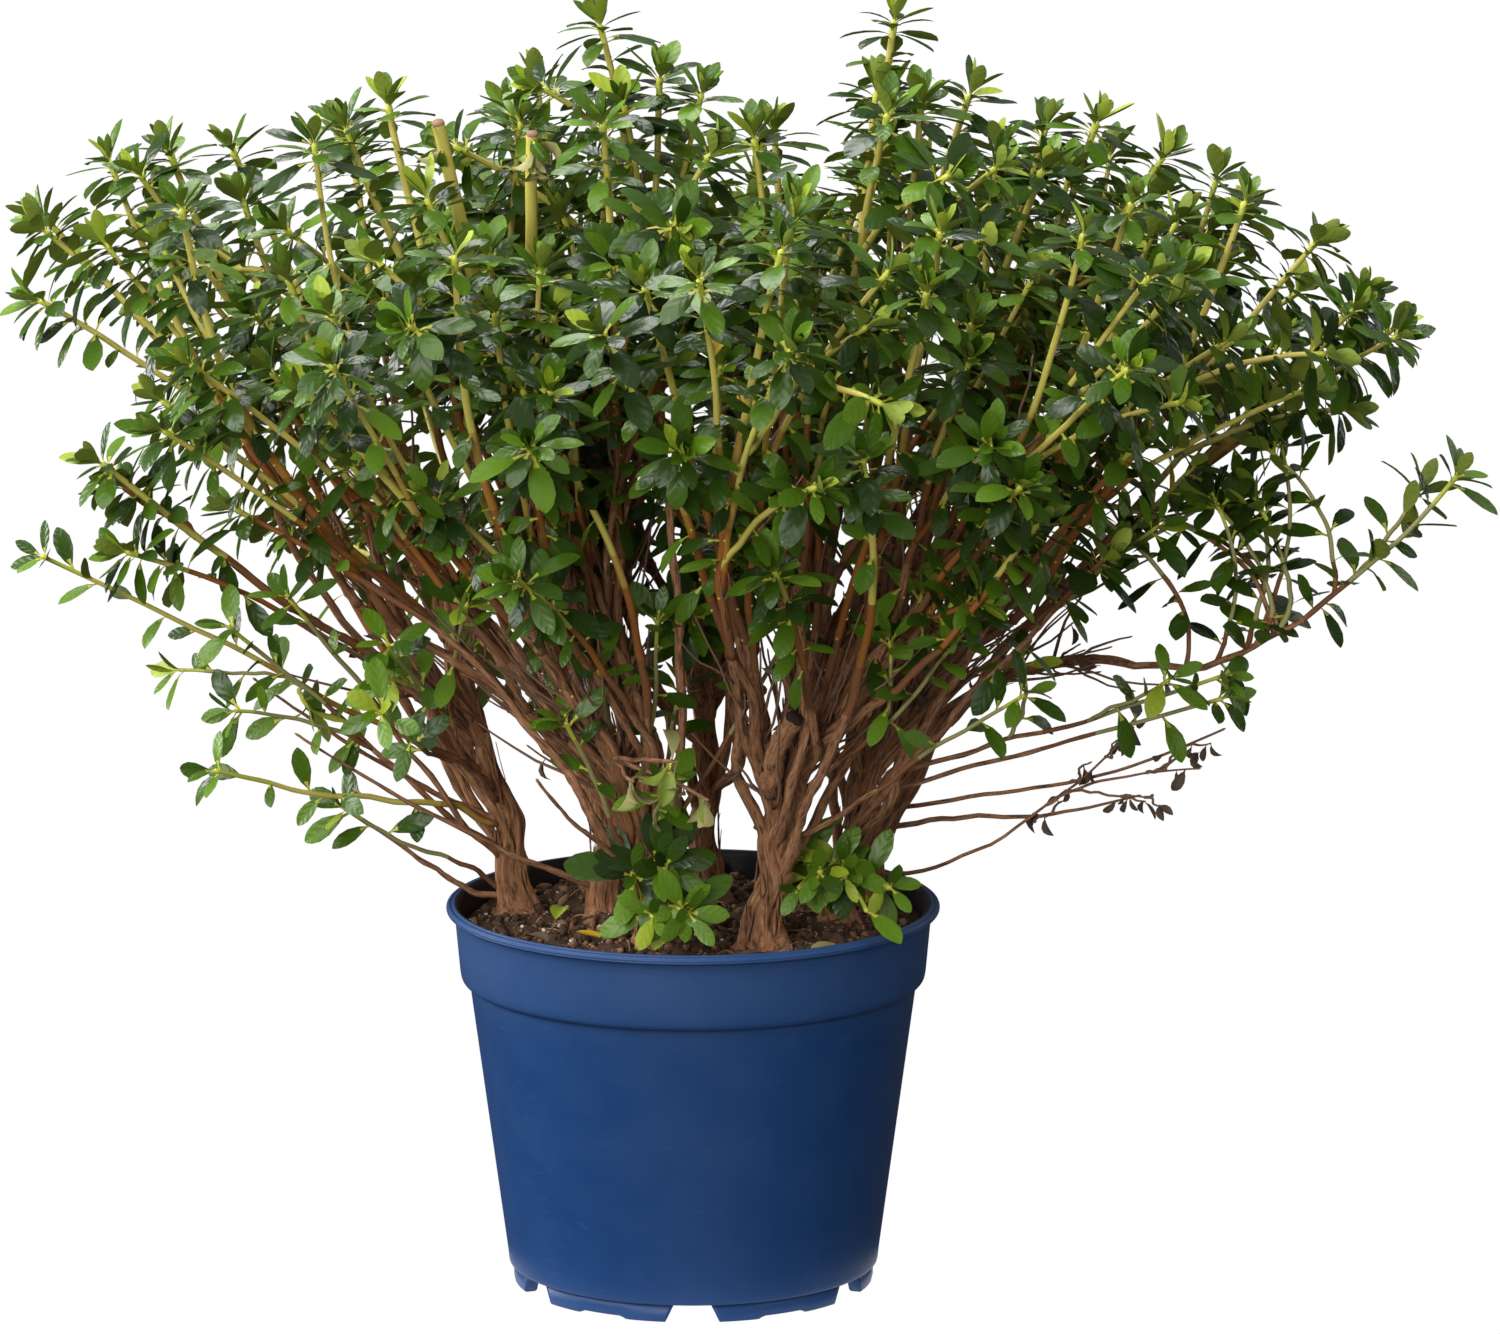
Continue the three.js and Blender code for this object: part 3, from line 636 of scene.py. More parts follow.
# A shoot is brown at its foot, russet and tan in its middle, and straw to yellow-green under its bud.
TWIG_SKINS = (
    FibrousBark("fibrous_twig_bark", body="#8d6042", ruddy="#b07d55", fibre_mm=1.2),
    PlantSkin("twig_chestnut", "#7c5030", 0.75, grain_mm=1.4, depth_mm=0.6, drawn=3.0),
    PlantSkin("twig_russet", "#935a26", 0.58, grain_mm=1.4, drawn=2.0),
    PlantSkin("twig_amber", "#a8762e", 0.52, grain_mm=1.4),
    PlantSkin("twig_tan", "#b59343", 0.50, grain_mm=1.4),
    PlantSkin("twig_straw", "#c9bc5c", 0.46, grain_mm=1.4),
    PlantSkin("twig_yellow_green", "#b2b844", 0.46, grain_mm=1.4),
    PlantSkin("twig_dry_brown", "#85644e", 0.90, grain_mm=1.2, depth_mm=0.5, drawn=2.0),
    # A cut's flat end is painted near black, as painted shade standing in for a hollow that isn't modelled.
    PlantSkin("hollow_of_a_cut", "#2c1a10", 0.95, grain_mm=1.2, depth_mm=0.5),
    PlantSkin("twig_olive", "#95915a", 0.55, grain_mm=1.4),
)


@dataclass
class Rows:
    """Arrays as fields, with a row in each for one leaf or one twig."""

    @classmethod
    def joined(cls, sets: list[Self]) -> Self:
        """Joins sets of rows into one."""
        return cls(*[np.concatenate([getattr(one, part.name) for one in sets]) for part in fields(cls)])

    def picked(self, which: Array) -> Self:
        """Returns the rows that a mask or a list of places picks."""
        return type(self)(*[getattr(self, part.name)[which] for part in fields(self)])

    def __len__(self) -> int:
        """Returns how many rows there are."""
        return len(getattr(self, fields(self)[0].name))


@dataclass
class LeafSet(Rows):
    """Many leaves as arrays, one row for each: where each grows, how it faces, its sizes and its skin."""

    root: Array
    forward: Array
    face: Array
    length: Array
    width: Array
    curl: Array
    fold: Array
    skin: Array

    ROWS = np.array([0.0, 0.15, 0.28, 0.5, 0.72, 0.88, 0.96, 1.0])
    TOP_COLUMNS = np.array([1.0, 0.45, 0.0, -0.45, -1.0])
    UNDER_COLUMNS = np.array([-1.0, 0.0, 1.0])
    # The petiole's share of the length, the greatest half width that sheet's formula gives, and two depths in
    # millimetres.
    PETIOLE = 0.09
    WIDEST = 0.2868
    THICKNESS = 0.35
    RIB_SINK = 0.3

    def tips(self) -> Array:
        """Returns about where each leaf's tip is."""
        sag = 0.45 * self.curl[:, None]
        return self.root + self.length[:, None] * unit(self.forward - sag * self.face)

    def sheet(self, columns: Array, thick: float) -> Array:
        """Works out one side of every leaf.

        The spine turns down by curl · t² on its way, after a petiole that rises. Half the width goes as
        s^1.1 · (1 - s)^0.75, where s is the share of the blade passed, so the leaf tapers into its petiole
        and is widest beyond its middle. The blade folds up from its rib by fold and rolls down at its edges.

        Args:
            columns: places across the blade, from 1 at its left edge to -1.
            thick: how far the sheet's middle lies under the blade, in millimetres.

        Returns:
            Leaves, rows, columns and coordinates.
        """
        t = self.ROWS
        rising = 0.35 * np.clip(1 - t / 0.3, 0, 1)
        angle = self.curl[:, None] * t**2 - rising
        step = np.diff(t, prepend=0.0) * self.length[:, None]
        middle_angle = (angle + np.concatenate([angle[:, :1], angle[:, :-1]], axis=1)) / 2
        along = np.cumsum(np.cos(middle_angle) * step, axis=1)[..., None]
        down = np.cumsum(np.sin(middle_angle) * step, axis=1)[..., None]
        passed = np.clip((t - self.PETIOLE) / (1 - self.PETIOLE), 0, 1)
        profile = passed**1.1 * (1 - passed) ** 0.75 / self.WIDEST
        half = (np.maximum(profile, 0.05 + 0.06 * (t < 0.2)) * self.width[:, None] / 2)[..., None]
        across = columns * half
        blade = np.clip(profile, 0, 1)[None, :, None]
        lift = self.fold[:, None, None] * np.abs(across) - 0.22 * half * columns**2 * blade
        rib = (np.abs(columns) < 0.1) * self.RIB_SINK * blade
        body = thick * (1 - columns**2) * np.maximum(blade, 0.3)
        side = np.cross(self.face, self.forward)
        out = [self.forward[:, None, None] * along[..., None]]
        out.append(side[:, None, None] * across[..., None])
        out.append(self.face[:, None, None] * (lift - rib - body - down)[..., None])
        return self.root[:, None, None] + sum(out)

    def surface(self) -> Surface:
        """Makes both sides of every leaf.

        Returns:
            The leaves' surface. A living leaf has a paler petiole and a matt underside.
        """
        rows = len(self.ROWS) - 1
        living = self.skin < LeafSlot.GOLD
        top = woven(self.sheet(self.TOP_COLUMNS, 0.0), False)
        across = len(self.TOP_COLUMNS) - 1
        above = np.repeat(self.skin[:, None], rows * across, axis=1)
        petiole = [*range(across), across + 1, across + 2]
        above[np.ix_(living, petiole)] = LeafSlot.PETIOLE
        top.slots = above.reshape(-1)

        under = woven(self.sheet(self.UNDER_COLUMNS, self.THICKNESS), False)
        across = len(self.UNDER_COLUMNS) - 1
        matt = np.where(self.skin == LeafSlot.YOUNG, LeafSlot.UNDER_YOUNG, LeafSlot.UNDER)
        below = np.repeat(np.where(living, matt, self.skin)[:, None], rows * across, axis=1)
        below[living, :across] = LeafSlot.PETIOLE
        under.slots = below.reshape(-1)
        return Surface.joined([top, under])


@dataclass
class Twigs(Rows):
    """Curving twigs as arrays, one row for each: two ends, a bend, how each sways and its two radii."""

    start: Array
    bend: Array
    end: Array
    sway: Array
    root_radius: Array
    tip_radius: Array

    # How far below its tip a bud starts and has its rings, and how much the age of the wood varies.
    BUD_FOOT = 8.0
    BUD_RINGS = np.array([5.5, 3.0, 1.2, 0.0])
    AGE_SPREAD = 45.0

    @staticmethod
    def grown(start: Array, leaving: Array, end: Array, radii: tuple, sway: float, rng: Generator) -> "Twigs":
        """Grows twigs from their starts, at first along a way, to their ends.

        Args:
            start: where each twig leaves its parent.
            leaving: the way that it leaves.
            end: where its bud stands.
            radii: its radius at the root and under the bud.
            sway: how far it wanders off its curve, in millimetres.
            rng: the seeded numbers.

        Returns:
            The twigs.
        """
        length = norm(end - start, axis=-1, keepdims=True)
        bend = start + leaving * length * 0.5
        wander = rng.normal(0, 1, start.shape)
        across = squared(wander, unit(end - start))
        size = len(start)
        return Twigs(
            start, bend, end, across * sway * rng.uniform(0.4, 1.3, (size, 1)),
            np.full(size, radii[0]) * rng.uniform(0.85, 1.15, size),
            np.full(size, radii[1]) * rng.uniform(0.9, 1.1, size),
        )

    def points(self, share: Array) -> Array:
        """Works out points of the twigs.

        They are a curve of one bend, plus (sway · sin(2π · share) + kinks) · (1 - share), where the kinks are
        two quicker and smaller waves. The waves fade in over the first sixth.

        Args:
            share: shares of the way along, a row for each twig.

        Returns:
            Twigs, shares and coordinates.
        """
        s = share[..., None]
        curve = bowed(self.start[:, None], self.bend[:, None], self.end[:, None], s)
        sway = self.sway[:, None]
        phase = self.sway.sum(axis=1)[:, None, None] * 5
        across = np.cross(self.sway, unit(self.end - self.start))[:, None]
        kinks = 0.26 * across * np.sin(19 * s + phase) + 0.14 * sway * np.sin(37 * s + 2 * phase)
        return curve + (sway * np.sin(WHOLE_TURN * s) + kinks) * (1 - s) * np.minimum(1, 6 * s)

    def ways(self, share: Array) -> Array:
        """Returns the way each twig runs at shares of it."""
        return unit(self.points(np.minimum(share + 0.01, 1.0)) - self.points(share - 0.01))

    def lengths(self) -> Array:
        """Returns each twig's length."""
        path = self.points(np.tile(np.linspace(0, 1, 17), (len(self), 1)))
        return norm(np.diff(path, axis=1), axis=-1).sum(axis=1)

    def surface(
        self,
        rings: int,
        sides: int,
        steps: tuple,
        bud: float = 1.0,
        fan: "CrownFan | None" = None,
        knobs: float = 0.0,
    ) -> Surface:
        """Makes the twigs' skins, coloured by how far below the bud they are and how near the fan's focus.

        Args:
            rings: the rings in each twig.
            sides: the points in a ring.
            steps: pairs of a distance below the bud and the skin that starts there, from the bud down.
            bud: how much thicker the bud is than the twig under it, or 0 for a twig that is cut off flat.
            fan: the crown's fan, whose wood is the older, and the browner, the nearer it is to the focus.
            knobs: how far the radius swells and shrinks from ring to ring, as a share.

        Returns:
            One surface.
        """
        length = self.lengths()[:, None]
        end = [0.5 + 0.5 * bud, bud, 1.1 * bud, 0.4] if bud else [1.0, 1.02, 1.02, 0.97]
        body = np.linspace(0, 1, rings)[None] * (1 - self.BUD_FOOT / length)
        share = np.concatenate([body, 1 - self.BUD_RINGS[None] / length], axis=1)
        radius = mixed(self.root_radius[:, None], self.tip_radius[:, None], np.minimum(share, 1.0))
        shape = np.concatenate([np.ones(rings), end])
        middle = (share[:, 1:] + share[:, :-1]) / 2
        below = (1 - middle) * length
        slots = np.full(below.shape, steps[0][1])
        for distance, skin in steps[1:]:
            slots = np.where(below > distance, skin, slots)
        rng = default_rng(rings + sides)
        if fan is not None:
            age = rng.uniform(-self.AGE_SPREAD, self.AGE_SPREAD, (len(self), 1))
            limit = np.searchsorted(fan.wood_reaches, fan.reached(self.points(middle)) + age)
            slots = np.where(limit < len(fan.wood_reaches), np.minimum(slots, limit + TwigSlot.BARK), slots)
        old = np.concatenate([slots[:, :1], slots], axis=1)[..., None] <= TwigSlot.CHESTNUT
        swell = 1 + rng.normal(0, 1, (*old.shape[:2], sides)) * np.where(old, knobs, 0.2 * knobs)
        return tubes(self.points(share), (radius * shape)[..., None] * swell, sides, slots)


@dataclass(frozen=True)
class CrownFan:
    """The fan that the plant grows in: ways from a focus under the soil, squeezed in depth.

    reach is how far its leaves get, and wood_reaches are where the three oldest skins of its wood end.
    """

    focus: tuple = (0.0, 0.0, 58.0)
    depth: float = 0.8
    reach: float = 541.0
    wood_reaches: tuple = (296.0, 328.0, 370.0)

    def heading(self, polar: float, azimuth: float) -> Array:
        """Works out the way (sin polar · cos azimuth, sin polar · sin azimuth · depth, cos polar).

        Args:
            polar: its angle from the vertical, in degrees.
            azimuth: its compass turn, in degrees.

        Returns:
            The way, squeezed in depth.
        """
        p = math.radians(polar)
        a = math.radians(azimuth)
        return np.array([math.sin(p) * math.cos(a), math.sin(p) * math.sin(a) * self.depth, math.cos(p)])

    def reached(self, points: Array) -> Array:
        """Returns how far points are from the focus, with the squeeze undone."""
        return norm((points - np.array(self.focus)) / [1, self.depth, 1], axis=-1)

    def targets(
        self, way: Array, reach: float, spread: float, share: Array, turn: Array, drop: Array
    ) -> Array:
        """Places rosettes round a mass's middle.

        A rosette's aim is middle + tan(spread · share) · (cos turn · east + sin turn · north), and its
        distance from the focus is the reach less its drop.

        Args:
            way: the mass's middle, squeezed.
            reach: how far its leaf tips reach.
            spread: the mass's half angle, in degrees.
            share: how far from the middle each rosette is, from 0 to 1.
            turn: its turn round the middle.
            drop: how far its bud stays below the reach.

        Returns:
            A point for each rosette.
        """
        middle = unit(way / [1, self.depth, 1])
        east = unit(np.array([-middle[1], middle[0], 0.0]))
        north = np.cross(middle, east)
        tilt = np.tan(np.radians(spread * share))[:, None]
        aim = unit(middle + tilt * (np.cos(turn)[:, None] * east + np.sin(turn)[:, None] * north))
        return np.array(self.focus) + aim * (reach - drop)[:, None] * [1, self.depth, 1]


@dataclass(frozen=True)
class Limb:
    """A tapering limb of one bend. flare swells its foot, as a stem's does on the soil."""

    start: Array
    bend: Array
    end: Array
    root_radius: float
    tip_radius: float
    flare: float = 0.0

    def point(self, share: Array) -> Array:
        """Returns points at shares of the limb."""
        return bowed(self.start, self.bend, self.end, np.asarray(share, float)[..., None])

    def way(self, share: Array) -> Array:
        """Returns the ways that the limb runs at shares of it."""
        s = np.asarray(share, float)[..., None]
        return unit((1 - s) * (self.bend - self.start) + s * (self.end - self.bend))

    def radius(self, share: Array) -> Array:
        """Returns the limb's radius at shares of it: a straight taper, swollen by flare · (1 - s)^6."""
        s = np.asarray(share, float)
        return mixed(self.root_radius, self.tip_radius, s) * (1 + self.flare * (1 - s) ** 6)


@dataclass(frozen=True)
class StemSize:
    """Where a stem stands on the soil, its foot radius, the height of its fork and its outward lean."""

    name: str
    x: float
    y: float
    radius: float
    fork: float
    lean: float

    TAPER = 0.62
    FLARE = 0.45

    def limb(self) -> Limb:
        """Makes the stem.

        Returns:
            A limb that is upright at its foot and leans outwards to its fork.
        """
        foot = np.array([self.x, self.y, SOIL_LEVEL + 0.3])
        outwards = np.array([self.x, self.y, 0.0]) * self.lean
        tip = foot + outwards
        tip[2] = SOIL_LEVEL + self.fork
        bend = foot + 0.15 * outwards
        bend[2] = SOIL_LEVEL + self.fork * 0.5
        return Limb(foot, bend, tip, self.radius, self.radius * self.TAPER, self.FLARE)


STEMS = (
    StemSize("stem_left", -83, 30, 8.6, 84, 0.2),
    StemSize("stem_left_centre", -41, 22, 8.2, 92, 0.12),
    StemSize("stem_front", -20, -40, 7.4, 74, 0.45),
    StemSize("stem_centre", 33, -47, 10.5, 70, 0.22),
    StemSize("stem_right", 67, 4, 8.2, 82, 0.22),
    StemSize("stem_far_right", 80, 44, 8.0, 88, 0.5),
    StemSize("stem_back", 6, 52, 8.0, 96, 0.1),
    StemSize("stem_back_left", -42, 80, 7.6, 84, 0.25),
    StemSize("stem_back_right", 42, 80, 7.6, 80, 0.25),
)


@dataclass(frozen=True)
class Flush:
    """One flush of leaves on a shoot: how many, how far below the bud, how they stand, and their skins.

    below, rise and length go from the first leaf to the last. rise is the angle above square to the twig, in
    degrees. Where the last place below the bud is 0, the shoot's own leafy length takes it. light is the way
    that the blades turn to, and how strongly.
    """

    count: int
    below: tuple
    rise: tuple
    length: tuple
    curl: tuple
    fold: tuple
    chances: dict
    light: tuple = (0.0, 0.0, 0.5)


# A crown shoot has lime and green young leaves round its bud, two whorls of grown ones and some lower down.
GROWN_CHANCES = {LeafSlot.FRESH: 0.1, LeafSlot.MID: 0.26, LeafSlot.DARK: 0.36, LeafSlot.DEEP: 0.28}
YOUNG_FLUSH = Flush(
    7, (0.0, 2.6), (80, 50), (14, 22), (-0.15, 0.4), (0.2, 0.5),
    {LeafSlot.YOUNG: 0.14, LeafSlot.FRESH: 0.4, LeafSlot.MID: 0.36, LeafSlot.DARK: 0.1},
)
TOP_FLUSH = Flush(10, (2.4, 9.0), (34, -4), (21, 28), (0.3, 0.9), (0.06, 0.3), GROWN_CHANCES, (0.0, 0.0, 1.0))
SECOND_FLUSH = Flush(
    8, (19, 31), (28, -4), (21, 27), (0.3, 0.95), (0.05, 0.25), GROWN_CHANCES, (0.0, 0.0, 1.0)
)
LOWER_FLUSH = Flush(
    8, (44, 0), (26, -26), (20, 23), (0.3, 1.1), (0.05, 0.25),
    {LeafSlot.FRESH: 0.25, LeafSlot.MID: 0.37, LeafSlot.DARK: 0.26, LeafSlot.DEEP: 0.11, LeafSlot.GOLD: 0.01},
    (0.0, -0.2, 0.8),
)
# A slender shoot has a small rosette and few leaves below it, lighter ones.
SLENDER_TOP = Flush(
    6, (0.0, 5.0), (66, 14), (17, 25), (0.1, 0.7), (0.08, 0.3),
    {LeafSlot.YOUNG: 0.12, LeafSlot.FRESH: 0.42, LeafSlot.MID: 0.32, LeafSlot.DARK: 0.14}, (0.0, -0.7, 0.6),
)
SLENDER_LOWER = Flush(
    9, (18, 0), (40, 0), (20, 24), (0.1, 0.8), (0.08, 0.3),
    {LeafSlot.FRESH: 0.4, LeafSlot.MID: 0.4, LeafSlot.DARK: 0.2}, (0.0, -0.9, 0.6),
)
# The arched right arm has broad dark leaves, well apart.
ARCHED_TOP = replace(
    SLENDER_TOP, count=8, length=(18, 27), light=(0.1, -0.8, 0.6),
    chances={LeafSlot.FRESH: 0.15, LeafSlot.MID: 0.35, LeafSlot.DARK: 0.35, LeafSlot.DEEP: 0.15},
)
ARCHED_LOWER = replace(
    SLENDER_LOWER, length=(22, 27), chances={LeafSlot.MID: 0.35, LeafSlot.DARK: 0.4, LeafSlot.DEEP: 0.25}
)
# The tufts over the soil: one has large, deep glossy leaves, and two are of fresh green ones.
GLOSSY_TUFT = Flush(
    8, (0.3, 9.0), (56, 0), (18, 34), (0.1, 0.5), (0.05, 0.2),
    {LeafSlot.FRESH: 0.15, LeafSlot.MID: 0.25, LeafSlot.DARK: 0.35, LeafSlot.DEEP: 0.25}, (0.0, -0.8, 0.3),
)
BRIGHT_TUFT = Flush(
    8, (0.3, 10.0), (56, 0), (16, 27), (0.1, 0.6), (0.05, 0.25),
    {LeafSlot.YOUNG: 0.05, LeafSlot.FRESH: 0.7, LeafSlot.MID: 0.25}, (0.0, -0.7, 0.4),
)
LEAFY_TUFT = Flush(
    8, (0.3, 26.0), (50, 10), (15, 26), (0.1, 0.7), (0.05, 0.3),
    {LeafSlot.YOUNG: 0.12, LeafSlot.FRESH: 0.5, LeafSlot.MID: 0.28, LeafSlot.DARK: 0.1}, (0.0, -0.5, 0.6),
)


def leaves_of(twigs: Twigs, flush: Flush, leafy: float, rng: Generator) -> LeafSet:
    """Grows one flush of leaves on every twig.

    Leaf i stands at the golden angle from the one before it. Its blade faces the way its twig runs, turned
    some way to the light above.

    Args:
        twigs: the twigs.
        flush: the flush.
        leafy: where the flush's last leaf grows, below the bud, if the flush doesn't say.
        rng: the seeded numbers.

    Returns:
        The leaves.
    """
    count = flush.count
    shape = (len(twigs), count)
    order = np.linspace(0, 1, count)[None]
    last = flush.below[1] or leafy
    below = mixed(flush.below[0], last, order) + rng.normal(0, 0.05 * last, shape) * (order > 0)
    share = 1 - np.maximum(below, 0.3) / twigs.lengths()[:, None]
    turn = rng.uniform(0, WHOLE_TURN, (len(twigs), 1)) + GOLDEN_TURN * np.arange(count)
    turn = turn + rng.normal(0, 0.16, shape)
    axis = twigs.ways(share)
    out = beside(axis, turn)
    rise = np.radians(mixed(flush.rise[0], flush.rise[1], order) + rng.normal(0, 6, shape))[..., None]
    forward = np.cos(rise) * out + np.sin(rise) * axis
    forward = unit(forward - 0.10 * UP)
    facing = np.cos(rise) * (axis + np.array(flush.light)) - np.sin(rise) * out
    facing = squared(facing, forward)
    roll = rng.normal(0, 0.2, shape)[..., None]
    facing = np.cos(roll) * facing + np.sin(roll) * np.cross(forward, facing)
    length = mixed(flush.length[0], flush.length[1], order) * rng.uniform(0.8, 1.14, shape)
    skins = rng.choice([int(s) for s in flush.chances], shape, p=list(flush.chances.values()))
    parts = (
        twigs.points(share), forward, facing, length, length * rng.uniform(0.34, 0.44, shape),
        rng.uniform(*flush.curl, shape), rng.uniform(*flush.fold, shape), skins,
    )
    grown = LeafSet(*[part.reshape(-1, *part.shape[2:]) for part in parts])
    return grown.picked(share.reshape(-1) > 0.04)


# How far below the bud each skin of a shoot starts, in millimetres.
SHOOT_SKINS = (
    (0, TwigSlot.GREEN), (7, TwigSlot.STRAW), (88, TwigSlot.TAN), (112, TwigSlot.AMBER),
    (142, TwigSlot.RUSSET), (200, TwigSlot.CHESTNUT), (235, TwigSlot.BARK),
)
SLENDER_SKINS = (
    (0, TwigSlot.GREEN), (30, TwigSlot.STRAW), (120, TwigSlot.TAN), (165, TwigSlot.AMBER),
    (200, TwigSlot.CHESTNUT), (235, TwigSlot.BARK),
)
SKIRT_SKINS = ((0, TwigSlot.GREEN), (12, TwigSlot.OLIVE), (62, TwigSlot.CHESTNUT), (92, TwigSlot.BARK))


@dataclass(frozen=True)
class Habit:
    """How a mass's shoots grow.

    main and side are the radii of a shoot at its root and under its bud, and sway is how far a main one
    wanders, in millimetres. skins say where each skin starts below the bud. spacing is how far apart the
    lower leaves grow. outward is how strongly a main shoot first runs out and down, to rise in an arch.
    """

    main: tuple
    side: tuple
    sway: float
    skins: tuple
    flushes: tuple
    spacing: float
    outward: float = 0.0


STOUT = Habit(
    (2.2, 1.45), (1.7, 1.3), 7.0, SHOOT_SKINS, (YOUNG_FLUSH, TOP_FLUSH, SECOND_FLUSH, LOWER_FLUSH), 17.0
)
ARCHED = Habit((2.0, 1.2), (1.35, 1.0), 6.0, SKIRT_SKINS, (ARCHED_TOP, ARCHED_LOWER), 10.0, 0.7)
SLENDER = Habit((1.5, 1.0), (1.2, 0.9), 6.0, SKIRT_SKINS, (SLENDER_TOP, SLENDER_LOWER), 14.0)
PALE = Habit((1.5, 1.0), (1.2, 0.9), 6.0, SLENDER_SKINS, (SLENDER_TOP, SLENDER_LOWER), 14.0)


@dataclass(frozen=True)
class Mass:
    """A mass of foliage: the way it points, how far it reaches and how many shoots fill it.

    bough is the share of the reach and the polar angle at which its bough ends. Without one, the mass grows
    from its stem at a share of the stem's height. Every few rosettes, one stands on a main shoot and the rest
    on side shoots. leafy is how far below a bud leaves grow, deep is how far below the reach buds stop, and
    lift raises the deepest by so many degrees. sag is how far every bud stays below the reach, as at the
    back, and gap how far below the mass's leader the others stay. A mass that isn't solid fills in between
    those that are.
    """

    name: str
    polar: float
    azimuth: float
    reach: float
    bough: tuple | None = None
    stem: str | None = None
    at: float = 0.0
    spread: float = 8.6
    rosettes: int = 11
    every: int = 3
    inner: int = 4
    leafy: float = 115.0
    habit: Habit = STOUT
    deep: float = 85.0
    lift: float = 0.0
    sag: float = 0.0
    gap: float = 0.0
    solid: bool = True


# The crown's rings of masses: name, count, polar angle, turn of the first one and share of the fan's reach.
RINGS = (("top", 1, 4.0, 180.0, 1.03), ("upper", 6, 16.0, 8.0, 1.0), ("outer", 11, 30.5, 15.0, 0.985))
BOUGH_SHARE = 0.57
# How far the back's buds and those of the top and upper masses stay below their reach, in millimetres. The
# outer masses at the left reach further.
BACK_SAG = 27.0
TOP_SAG = 16.0
LEFT_SAG = -14.0
# How far below its leader the other buds of the top mass and of each upper one stay, in millimetres.
TOP_GAP = 20.0
UPPER_GAPS = (0.0, 20.0, 20.0, 8.0, 20.0, 8.0)


def ringed_masses(fan: CrownFan) -> list[Mass]:
    """Lays out the crown's rings: one mass on top, six round it and eleven outside those.

    Args:
        fan: the fan that they fill.

    Returns:
        The masses. Those at the left of the outer ring are the more open.
    """
    masses = []
    for name, count, polar, turn, reach in RINGS:
        for i in range(count):
            azimuth = turn + 360 / count * i
            full_name = f"{name}_{i + 1}" if count > 1 else name
            mass = Mass(full_name, polar, azimuth, fan.reach * reach, (BOUGH_SHARE, polar))
            back = BACK_SAG * max(0.0, math.sin(math.radians(azimuth)))
            if name == "top":
                mass = replace(mass, polar=polar + 1.6, sag=TOP_SAG, gap=TOP_GAP)
            elif name == "upper":
                mass = replace(mass, sag=1.3 * back + TOP_SAG, gap=UPPER_GAPS[i])
            elif 140 < azimuth < 215:
                mass = replace(mass, sag=back + LEFT_SAG, rosettes=10, inner=3, leafy=85.0, deep=130.0)
            else:
                mass = replace(mass, sag=back)
            masses.append(mass)
    return masses


# Shoots that leave the rings: the arched right arm, the low shoots at both sides and two arms at the back.
SIDE_MASSES = (
    Mass(
        "right_arm", 48.2, -2, 486, (0.64, 41.0), "stem_far_right",
        spread=4.0, rosettes=11, every=11, inner=0, leafy=100, habit=ARCHED, deep=130, lift=21,
    ),
    Mass(
        "right_low", 47.5, -13, 352, None, "stem_right", 0.8,
        spread=3.5, rosettes=4, every=2, inner=0, leafy=34, habit=SLENDER, deep=60, lift=12,
    ),
    Mass(
        "left_arm", 46, 186, 424, None, "stem_left", 0.8,
        spread=3.0, rosettes=1, every=1, inner=0, leafy=200, habit=PALE,
    ),
    Mass(
        "left_low", 49.5, 196, 306, None, "stem_left", 0.5,
        spread=3.0, rosettes=1, every=1, inner=0, leafy=75, habit=PALE,
    ),
    Mass(
        "back_arm_right", 49, 62, 462, None, "stem_back_right", 0.75,
        spread=6.0, rosettes=6, inner=2, leafy=110,
    ),
    Mass(
        "back_arm_left", 49, 120, 462, None, "stem_back_left", 0.75,
        spread=6.0, rosettes=6, inner=2, leafy=110,
    ),
)


def filler(
    name: str, polar: float, azimuth: float, reach: float, stem: str, at: float, **more: object
) -> Mass:
    """Makes a mass without a solid of its own, which fills in between those that have one."""
    return Mass(name, polar, azimuth, reach, None, stem, at, solid=False, **{"inner": 0, **more})


# Low shoots that fill the crown's skirt, leaders that stand out of it, and limbs behind its middle.
FILL_MASSES = (
    filler(
        "skirt_left", 40, 192, 345, "stem_left", 0.35,
        spread=6.5, rosettes=5, leafy=70, habit=SLENDER, deep=60,
    ),
    filler(
        "skirt_left_front", 35, 222, 328, "stem_left", 0.7,
        spread=8.0, rosettes=4, every=2, leafy=50, habit=SLENDER, deep=60,
    ),
    filler(
        "skirt_front", 22, 262, 300, "stem_front", 0.6,
        spread=14.0, rosettes=7, every=1, leafy=40, habit=SLENDER, deep=80,
    ),
    filler(
        "skirt_right_front", 34, -48, 330, "stem_centre", 0.8,
        spread=9.0, rosettes=4, every=2, leafy=40, habit=SLENDER, deep=40,
    ),
    filler(
        "skirt_right", 35, -6, 410, "stem_right", 0.8,
        spread=5.0, rosettes=4, leafy=50, habit=SLENDER, deep=50,
    ),
    filler("side_left", 40, 184, 436, "stem_left", 0.95, spread=3.5, rosettes=3, leafy=60, deep=50),
    filler(
        "low_left", 44, 184, 240, "stem_left", 0.12,
        spread=3.0, rosettes=1, every=1, leafy=20, habit=SLENDER, deep=30,
    ),
    filler("leader_right", 10, -5, 548, "stem_centre", 0.9, spread=2.0, rosettes=2, every=1, deep=60),
    filler("crest_right", 22, 4, 526, "stem_right", 0.9, spread=4.5, rosettes=5, deep=60),
    filler("shoulder_right", 38.0, 2, 516, "stem_far_right", 0.95, spread=4.5, rosettes=6, deep=60),
    filler(
        "middle", 5, 250, 440, "stem_back", 0.9,
        spread=12.0, rosettes=4, every=1, inner=12, leafy=60, deep=90,
    ),
)


